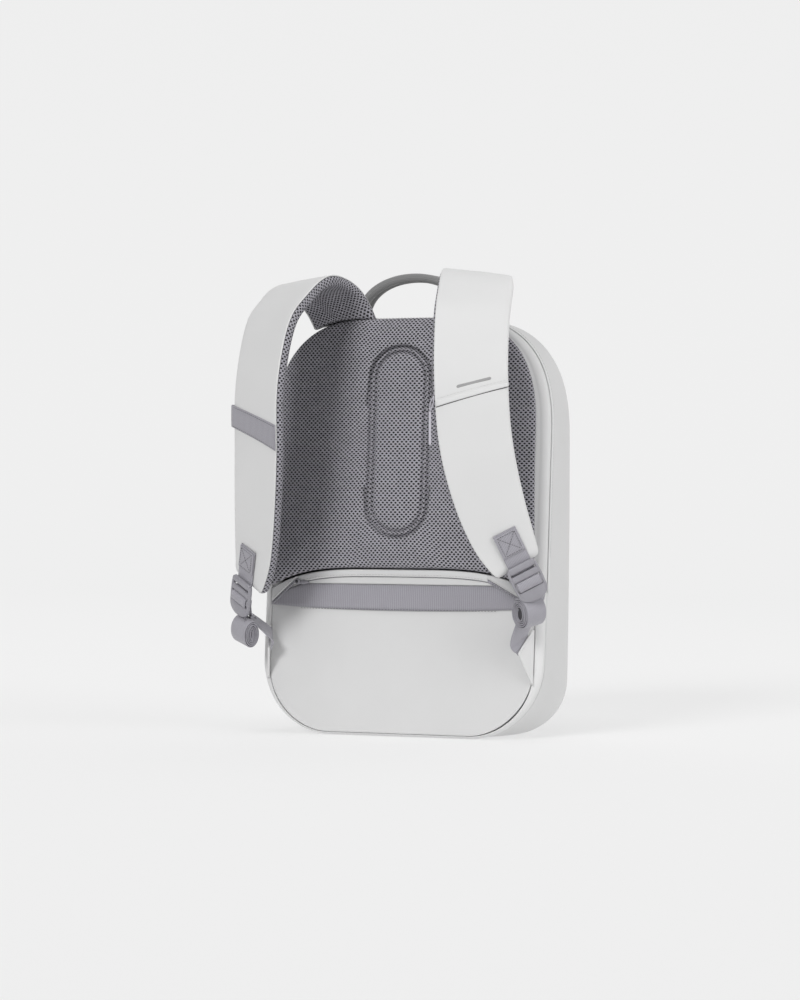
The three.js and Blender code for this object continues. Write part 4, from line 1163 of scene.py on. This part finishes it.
def build_band(course):
    middle = course.share_at(BAND_HEIGHT)
    grid = slanted_band(course, middle, BAND_LENGTH, 3.3, 1.3)
    top = middle - (SLANT + BAND_LENGTH / 2) / course.total
    folded = []
    for more, drop in BAND_SIDE:
        row = []
        for place, out in ((0.0, -0.9), (0.0, -0.3), (0.06, 0.0), (0.25, 0.05), (0.5, 0.05), (0.75, 0.05),
                           (0.94, 0.0), (1.0, -0.3), (1.0, -0.9)):
            p, u, n, _, width = course.at(top + BAND_LENGTH / course.total * place)
            row.append(p + u * (width / 2 + more + out) + n * (4.3 - drop))
        folded.append(row)
    grid = np.concatenate([grid, np.array(folded)])
    make("strap_band_cloth", *mirrored(closed(grid), -1), "band", ["strap_band_left"], "grey_webbing")
    for k, place in enumerate((0.07, 0.93)):
        slanted_stitches(f"strap_band_stitches_{k + 1}", course, middle, BAND_LENGTH * (0.5 - place),
                         (-0.98, 0.97), 4.62, -1, "grey_thread", "grey_webbing", width=0.45)


# Reflective mark: its span in shares of half the strap's width, half its height, and its way up
MARK_SPAN = (-0.42, 0.52)
MARK_HALF = 1.55
MARK_UP = 11.0


def build_strap_pocket(course):
    middle = course.share_at(HEM_HEIGHT)
    grid = slanted_band(course, middle - 0.6 / course.total, 4.4, 3.1, 0.9, -0.995, 0.985)
    make("strap_pocket_edge", *closed(grid), "cover", ["strap_pocket_hem_right"], "white_shell")
    grid = slanted_band(course, middle + 2.1 / course.total, 0.8, 3.3, 0.32, -0.99, 0.985)
    make("strap_pocket_slit", *closed(grid), "dark", [], "grey_webbing")
    slanted_stitches("strap_pocket_stitches", course, middle, 5.4, (-0.96, 0.94), 3.45, 1,
                     "white_thread", "white_shell", width=0.45, height=0.3)
    rows = []
    for share in np.linspace(*MARK_SPAN, 40):
        end = min(share - MARK_SPAN[0], MARK_SPAN[1] - share) * STRAP_WIDTH / 2
        half = MARK_HALF * math.sqrt(max(1 - max(1 - end / MARK_HALF, 0) ** 2, 0.02))
        station = middle - (share * SLANT + MARK_UP) / course.total
        rows.append([course.on(station + place * half / course.total, share, 3.1 + out * 0.9)
                     for place, out in ((-1, 0.0), (-1, 0.4), (-0.7, 0.7), (0, 0.75), (0.7, 0.7), (1, 0.4),
                                        (1, 0.0))])
    make("strap_mark_strip", *closed(rows), "mark", ["strap_mark_right"], "grey_webbing")


def tube(points, radii, sides, squash=1.0):
    points = np.asarray(points, float)
    along = unit(np.gradient(points, axis=0))
    rows = []
    for p, a, r in zip(points, along, radii):
        side = unit(np.cross(a, (0, -1, 0)))
        out = unit(np.cross(side, a))
        rows.append([p + side * math.cos(t) * r + out * math.sin(t) * r * squash
                     for t in np.linspace(0, 2 * math.pi, sides + 1)[:-1]])
    return closed(rows)


# way down the zip pull's bar, radius there
PULL_BAR = [(0, 0.6), (0.5, 1.1), (1.6, 1.35), (3, 1.3), (8, 1.25), (16, 1.25), (24, 1.3), (30, 1.35),
            (31.8, 1.2), (32.6, 0.8), (33, 0.3)]


def build_zip_pull(course):
    share = course.share_at(HEM_HEIGHT)
    edge = course.on(share, -1 - 2.0 / STRAP_WIDTH, 0.9)
    hang = course.on(share + 14.0 / course.total, -1 - 11.2 / STRAP_WIDTH, 0)
    parts = []
    for turn in (-1, 1):
        middle = (edge + hang) / 2 + np.array([turn * 1.5, -0.5, 0])
        line = [catmull(np.array([edge, middle, hang + [0, 0, 0.5]]), t) for t in np.linspace(0, 1, 12)]
        parts.append(tube(line, [0.55] * 12, 8))
    bar = [hang + [0, 0, -down] for down, _ in PULL_BAR]
    parts.append(tube(bar, [radius for _, radius in PULL_BAR], 14, 0.8))
    make("strap_zip_pull_bar", *joined(parts), "pull", ["strap_zip_pull_right"], "grey_plastic")


# Webbing and buckles
def turned(vector, axis, degrees):
    angle = math.radians(degrees)
    axis = unit(axis)
    return (vector * math.cos(angle) + np.cross(axis, vector) * math.sin(angle)
            + axis * np.dot(axis, vector) * (1 - math.cos(angle)))


# Middle of the webbing over the strap's middle line, and behind the buckle's
PATCH_OUT = STRAP_COVER + 2 * GAP + WEBBING[1] / 2
BEHIND = BUCKLE[2] / 2 + GAP + WEBBING[1] / 2
BUCKLE_TOP = BUCKLE[1] * 0.4
BUCKLE_FOOT = BUCKLE_TOP - BUCKLE[1]


def slot_top(slot):
    return BUCKLE_TOP - BAR - slot * (BAR + SLOT)


# Where a buckle sits, with its ways across, up and out
class Place:
    def __init__(self, course):
        p, u, n, along, _ = course.at(1.0)
        self.origin = p + n * (PATCH_OUT + BEHIND) + along * BUCKLE_DROP
        self.n = n
        self.v = turned(-along, n, BUCKLE_TURN)
        self.u = turned(u, n, BUCKLE_TURN)

    def at(self, up, out, turn=0.0, twist=0.0):
        upright = turned(self.v, self.n, turn)
        return self.origin + upright * up + turned(self.n, upright, twist) * out

    def across(self, turn=0.0, twist=0.0):
        return turned(turned(self.u, self.n, turn), turned(self.v, self.n, turn), twist)

    def point(self, x, up, out):
        return self.origin + self.u * x + self.v * up + self.n * out


# share of half the ribbon's width, millimetres further across, share of half its thickness
RIBBON = [(-1, 0.0, 0.0), (-1, 0.2, 0.62), (-1, 0.9, 1.0), (-0.8, 0, 1.0), (-0.6, 0, 1.0), (-0.4, 0, 1.0),
          (-0.2, 0, 1.0), (0, 0, 1.0), (0.2, 0, 1.0), (0.4, 0, 1.0), (0.6, 0, 1.0), (0.8, 0, 1.0),
          (1, -0.9, 1.0), (1, -0.2, 0.62), (1, 0.0, 0.0), (1, -0.2, -0.62), (1, -0.9, -1.0), (0.5, 0, -1.0),
          (0, 0, -1.0), (-0.5, 0, -1.0), (-1, 0.9, -1.0), (-1, 0.2, -0.62)]


# A band of webbing along a row of points, each with its own way across
def ribbon(points, sides, width=WEBBING[0], thick=WEBBING[1]):
    points = np.asarray(points, float)
    thick = np.broadcast_to(thick, len(points))
    along = unit(np.gradient(points, axis=0))
    rows = []
    for p, a, u, t in zip(points, along, sides, thick):
        u = unit(u - np.dot(u, a) * a)
        n = unit(np.cross(a, u))
        rows.append([p + u * (s * width / 2 + more) + n * out * t / 2 for s, more, out in RIBBON])
    return np.array(rows)


def box_stitches(corner, across, down, normal, wide, tall):
    corners = [corner, corner + across * wide, corner + across * wide + down * tall, corner + down * tall]
    parts = []
    for a, b in ((0, 1), (1, 2), (2, 3), (3, 0), (0, 2), (1, 3)):
        line = np.linspace(corners[a], corners[b], 12)
        parts += stitch_parts(line, np.tile(normal, (12, 1)), 1.9, 0.7, 0.5, 0.35)
    return parts


def upper_points(course, place):
    high = place.at(BUCKLE_TOP + PATCH_FOOT, -BEHIND)
    points = []
    for distance in np.linspace(PATCH_LENGTH, 0.5, 22):
        point = high + place.v * distance
        p, _, n, _, _ = course.at(1 - (BUCKLE_TOP + PATCH_FOOT - BUCKLE_DROP + distance) / course.total)
        point = point + n * (PATCH_OUT + 0.1 - np.dot(point - p, n))
        points.append(point)
    return points


def build_upper_webbing(course, place, sign, side):
    points = upper_points(course, place)
    stations = points + [place.at(BUCKLE_TOP + PATCH_FOOT - d, -BEHIND) for d in (1, 4, 8, 13, 18, 22)]
    strip = ribbon(stations, [place.u] * len(stations))
    fold = ribbon(points[1:17], [place.u] * 16, width=WEBBING[0] - 0.6, thick=1.1)
    normal = course.at(0.95)[2]
    cloth = joined([closed(strip), closed(fold + normal * 1.35)])
    make(f"upper_webbing_strip_{side}", *mirrored(cloth, sign), "webbing", [f"upper_webbing_{side}"],
         "grey_webbing")
    down = points[15] - points[2]
    corner = points[2] - place.u * (WEBBING[0] / 2 - PATCH_SEAM) + normal * 2.1
    parts = box_stitches(corner, place.u, unit(down), normal, WEBBING[0] - 2 * PATCH_SEAM,
                         np.linalg.norm(down))
    make(f"upper_webbing_stitches_{side}", *mirrored(joined(parts), sign), "grey_thread", [],
         "grey_webbing")


# The side tab's plane, and where the webbing starts on it with its ways across and along
def tab_frame():
    reach = np.array([-math.sin(TAB_LEAN), -math.cos(TAB_LEAN), 0])
    inward = np.array([-math.cos(TAB_LEAN), math.sin(TAB_LEAN), 0])
    up = np.array([0, 0, 1.0])
    u = up * math.cos(TAB_SLOPE) - reach * math.sin(TAB_SLOPE)
    along = reach * math.cos(TAB_SLOPE) + up * math.sin(TAB_SLOPE)

    def on_tab(out, z):
        return np.array([HALF_WIDTH - RIM_SIDE, float(back_at(z)) - 1.4, z]) + reach * out

    start = (on_tab(TAB_REACH, TAB_FOOT + TAB_APEX) + u * WEBBING[0] / 2 - along * 4
             + inward * (TAB_THICK / 2 + 2 * GAP + WEBBING[1] / 2))
    return on_tab, inward, start, u, along


def build_tab(sign, side):
    on_tab, inward, _, u, along = tab_frame()
    corners = [(0, TAB_FOOT), (0, TAB_FOOT + TAB_LENGTH), (TAB_REACH * 0.12, TAB_FOOT + TAB_LENGTH),
               (TAB_REACH, TAB_FOOT + TAB_APEX)]
    flat = []
    for k in range(4):
        a, b = np.array(corners[k]), np.array(corners[(k + 1) % 4])
        flat += [a + (b - a) * share for share in np.linspace(0, 1, 12)[:-1]]
    flat = np.array(flat)
    middle = np.array([TAB_REACH * 0.3, TAB_FOOT + TAB_LENGTH * 0.5])
    rings = []
    for inset, out in ((0.5, 1.0), (0.12, 1.0), (0.03, 0.95), (0.0, 0.4), (0.0, -0.4), (0.03, -0.95),
                       (0.12, -1.0), (0.5, -1.0)):
        ring = flat + (middle - flat) * inset
        rings.append([on_tab(r, z) - inward * out * TAB_THICK / 2 for r, z in ring])
    make(f"side_tab_cloth_{side}", *mirrored(closed(rings), sign), "rim",
         [f"side_tab_{side}"], "white_shell")
    a = on_tab(TAB_REACH, TAB_FOOT + TAB_APEX)
    line = np.linspace(a + u * 1.5 - along * 1.8, a + u * 23 - along * 1.8, 10)
    parts = stitch_parts(line - inward * 1.15, np.tile(-inward, (10, 1)), 2.0, 0.9, 0.5, 0.35)
    make(f"side_tab_stitches_{side}", *mirrored(joined(parts), sign), "white_thread", [], "white_shell")


# plumb, twist, way in, up and back from the solid's, radius, how much flatter it is from front to back
ROLLS = {
    "left": (ROLL_PLUMB, 0.0, -5.0, 3.0, 1.0, 14.5, 4.5),
    "right": (-22.0, 30.0, 7.0, 7.0, 7.0, 15.5, 2.6),
}


def build_lower_webbing(place, sign, side):
    roll_plumb, roll_twist, roll_in, roll_up, roll_back, roll_radius, roll_flat = ROLLS[side]
    side_way = place.across(roll_plumb, roll_twist)

    def on_roll(angle, high, deep, sideways):
        up = BUCKLE_FOOT - ROLL_DROP - roll_radius + roll_up + high * math.sin(angle)
        out = deep * math.cos(angle) - 1 - roll_back
        return place.at(up, out, roll_plumb, roll_twist) + side_way * (sideways + roll_in)

    _, _, start, tab_u, tab_along = tab_frame()
    up_slot = slot_top(1) - SLOT / 2
    down_slot = slot_top(2) - SLOT / 2
    behind = -BEHIND - WEBBING[1] - GAP
    knots = np.array([start, start + tab_along * 5, start + tab_along * 10,
                      place.at(BUCKLE_FOOT, behind - 6), place.at(BUCKLE_FOOT + 6, behind - 2)])
    points, sides = [], []
    for t in np.linspace(0, 1, 34):
        twist = eased(min(max((t - 0.15) / 0.85, 0), 1))
        points.append(catmull(knots, t))
        sides.append(unit(tab_u * (1 - twist) + place.u * twist))
    through = [(down_slot, behind, 0), (up_slot - 2.4, behind, 0), (up_slot - 0.3, behind + 1.2, 0),
               (up_slot, 0, 0), (up_slot - 0.4, BEHIND - 0.6, 0), (up_slot - 2, BEHIND, 0),
               (down_slot + 2, BEHIND, 0), (down_slot + 0.4, BEHIND - 0.6, 0), (down_slot, 0, 0),
               (down_slot - 0.4, -BEHIND + 0.6, 0), (down_slot - 2, -BEHIND, 0),
               (BUCKLE_FOOT + 4, -BEHIND, ROLL_PLUMB * 0.4),
               (BUCKLE_FOOT - ROLL_DROP / 2, -BEHIND - 0.6, ROLL_PLUMB * 0.7)]
    for up, out, turn in through:
        points.append(place.at(up, out, turn))
        sides.append(place.across(turn))
    flat_count = len(points)
    for i in range(round(ROLL_TURNS * ROLL_STEPS) + 1):
        turns = i / ROLL_STEPS
        high = roll_radius - (WEBBING[1] + GAP) * turns
        deep = max(high - roll_flat, 0.8)
        sideways = 0.35 * math.sin(turns * 2 * math.pi * 0.37)
        points.append(on_roll(math.radians(125 - turns * 360), high, deep, sideways))
        sides.append(side_way)
    thick = np.interp(np.arange(len(points)), [0, flat_count, flat_count + 20],
                      [WEBBING[1], WEBBING[1], ROLL_THICK])
    grid = ribbon(points, sides, thick=thick)
    make(f"lower_webbing_strip_{side}", *mirrored(closed(grid), sign), "webbing",
         [f"lower_webbing_{side}"], "grey_webbing")
    # A near-black plug sits inside the roll, just below its open end, and paints the shade in the gaps
    # between the wraps.
    core = []
    for sideways in (-ROLL_SHADE_PLUG_HALF, -ROLL_SHADE_PLUG_HALF + 0.5, 0, ROLL_SHADE_PLUG_HALF - 0.5, ROLL_SHADE_PLUG_HALF):
        inset = 1.4 if abs(sideways) == ROLL_SHADE_PLUG_HALF else 1.0
        core.append([on_roll(angle, roll_radius - inset, roll_radius - roll_flat - inset, sideways)
                     for angle in np.linspace(0, 2 * math.pi, 41)[:-1]])
    make(f"webbing_roll_shade_plug_{side}", *mirrored(closed(core), sign), "core", [], "grey_webbing")


# A rounded bar of the buckle between two of its sides
def buckle_bar(place, up, tall, half, thick, out=0.0):
    rows = []
    for share in np.linspace(-1, 1, 25):
        end = 1 - max(abs(share) - 0.94, 0) / 0.06 * 0.35
        corners = (squared(c, s, 3) for c, s in circle(20))
        rows.append([place.point(share * half, up + tall / 2 * c * end, out + thick / 2 * s * end)
                     for c, s in corners])
    return closed(rows)


def buckle_rim_points():
    half, top, foot = BUCKLE[0] / 2, BUCKLE_TOP, BUCKLE_FOOT
    knots = np.array([(-half * 0.86, top - 1.6), (-half + 1.4, top - 5), (-half + 1.2, foot * 0.3),
                      (-half * 0.82, foot * 0.72), (-half * 0.45, foot + 2.6), (0, foot + 1.6),
                      (half * 0.45, foot + 2.6), (half * 0.82, foot * 0.72), (half - 1.2, foot * 0.3),
                      (half - 1.4, top - 5), (half * 0.86, top - 1.6)])
    return np.array([catmull(knots, t) for t in np.linspace(0, 1, 70)])


def build_buckle(place, sign, side):
    flat = buckle_rim_points()
    rows = []
    for (x, y), (tx, ty) in zip(flat, unit(np.gradient(flat, axis=0))):
        corners = (squared(c, s, 2.6) for c, s in circle(14))
        rows.append([place.point(x + ty * c * BUCKLE_RIM[0], y - tx * c * BUCKLE_RIM[0], s * BUCKLE_RIM[1])
                     for c, s in corners])
    parts = [closed(rows)]
    wide = BUCKLE[0] / 2 - 1.2
    parts.append(buckle_bar(place, BUCKLE_TOP - BAR / 2 + 0.2, BAR + 0.5, wide - 0.5, 4.4))
    for slot in (0, 1):
        parts.append(buckle_bar(place, slot_top(slot) - SLOT - BAR / 2, BAR + 0.7, wide, 3.6, 0.3))
    low = slot_top(2) - SLOT
    rows = []
    for share in np.linspace(0, 1, 18):
        y = low + (BUCKLE_FOOT + 0.9 - low) * share
        reach = (y - BUCKLE_FOOT) / (low - BUCKLE_FOOT)
        half = wide * min(1.0, math.sqrt(max(1 - (1 - min(reach, 1)) ** 2.4, 0.02)) + 0.02)
        dome = FOOT_THICK * math.sin(math.pi * (0.18 + 0.72 * share))
        row = []
        for c, s in circle(24):
            front = s > 0
            swell = FOOT_THICK + (dome if front else 0.2) * (1 - abs(c) ** 2.5)
            row.append(place.point(half * c, y, swell * (1 if front else -1) * min(abs(s) * 3, 1)))
        rows.append(row)
    parts.append(closed(rows))
    make(f"buckle_body_{side}", *mirrored(joined(parts), sign), "buckle", [f"buckle_{side}"],
         "grey_plastic")


def build_side(sign, side, course):
    shares = np.concatenate([np.linspace(0, 0.975, 150), np.linspace(0.978, 1.0, 16)])
    cover = closed(strap_sweep(course, COVER_SECTION, shares))
    make(f"strap_cover_cloth_{side}", *mirrored(cover, sign), "cover", [f"strap_cover_{side}"],
         "white_shell")
    pad = closed(strap_sweep(course, PAD_SECTION, shares))
    piece = make(f"strap_mesh_pad_{side}", *mirrored(pad, sign), "strap_mesh", [f"strap_pad_{side}"],
                 "grey_mesh")
    place = Place(course)
    build_upper_webbing(course, place, sign, side)
    build_tab(sign, side)
    build_lower_webbing(place, sign, side)
    build_buckle(place, sign, side)


# Camera, at the photograph's angle and level with the bag's middle
AZIMUTH = math.radians(22)
DISTANCE = 3.12
LOOK_AT = (-0.048, 0.2755)
camera_data = bpy.data.cameras.new("camera")
camera_data.lens = 109.08
camera_data.shift_x = -0.003
camera_data.shift_y = -0.032
camera_data.clip_end = 60
camera = bpy.data.objects.new("camera", camera_data)
bpy.context.scene.collection.objects.link(camera)
camera.location = (math.sin(AZIMUTH) * DISTANCE, LOOK_AT[0] - math.cos(AZIMUTH) * DISTANCE, LOOK_AT[1])
camera.rotation_euler = (math.pi / 2, 0, AZIMUTH)
bpy.context.scene.camera = camera


# Floor and lights. The floor runs back and curves up into a wall, in millimetres.
FLOOR_HALF = 9000
FLOOR_NEAR = -4200
FLOOR_BEND = 2800
FLOOR_SWEEP = 1800
WALL_TOP = 9000
FLOOR_DROP = 0.3
WORLD_LIGHT = 0.2


def build_studio():
    rows = []
    for share in np.linspace(0, 1, 24):
        y, z = FLOOR_NEAR + 2 * (FLOOR_BEND - FLOOR_NEAR) * share, 0.0
        if share >= 0.5:
            angle = (share - 0.5) * math.pi
            y, z = FLOOR_BEND + FLOOR_SWEEP * math.sin(angle), FLOOR_SWEEP * (1 - math.cos(angle))
        rows.append([(-FLOOR_HALF, y, z - FLOOR_DROP), (FLOOR_HALF, y, z - FLOOR_DROP)])
    rows.append([(-FLOOR_HALF, FLOOR_BEND + FLOOR_SWEEP, WALL_TOP),
                 (FLOOR_HALF, FLOOR_BEND + FLOOR_SWEEP, WALL_TOP)])
    verts, faces, _ = skin(np.array(rows), wrap_cols=False, caps=False)
    mesh = bpy.data.meshes.new("studio_floor")
    mesh.from_pydata((np.asarray(verts) * MM).tolist(), [], faces)
    mesh.polygons.foreach_set("use_smooth", [True] * len(mesh.polygons))
    mesh.materials.append(MAT["floor"])
    floor = bpy.data.objects.new("studio_floor", mesh)
    bpy.context.scene.collection.objects.link(floor)
    world = bpy.data.worlds.new("studio_world")
    world.use_nodes = True
    background = world.node_tree.nodes["Background"]
    background.inputs[0].default_value = (1, 1, 1, 1)
    background.inputs[1].default_value = WORLD_LIGHT
    bpy.context.scene.world = world


def sun_light(name, azimuth, elevation, softness, strength):
    data = bpy.data.lights.new(name, "SUN")
    data.angle = math.radians(softness)
    data.energy = strength
    lamp = bpy.data.objects.new(name, data)
    lamp.rotation_euler = (math.pi / 2 - math.radians(elevation), 0, math.radians(azimuth))
    lamp.location = (0, -2, 3)
    bpy.context.scene.collection.objects.link(lamp)


build_studio()
sun_light("key_light", -10, 28, 19, 1.45)
sun_light("side_fill", 78, 18, 40, 1.25)
sun_light("top_light", 5, 72, 30, 0.85)
bpy.context.scene.view_settings.view_transform = "Standard"

build_shell()
build_rim()
build_zip_lip()
build_pad()
build_panel()
build_pocket()
build_handle()
left = Course(20.0, 43.0)
right = Course(0.0, 47.0)
build_side(-1, "left", left)
build_side(1, "right", right)
build_band(left)
build_strap_pocket(right)
build_zip_pull(right)
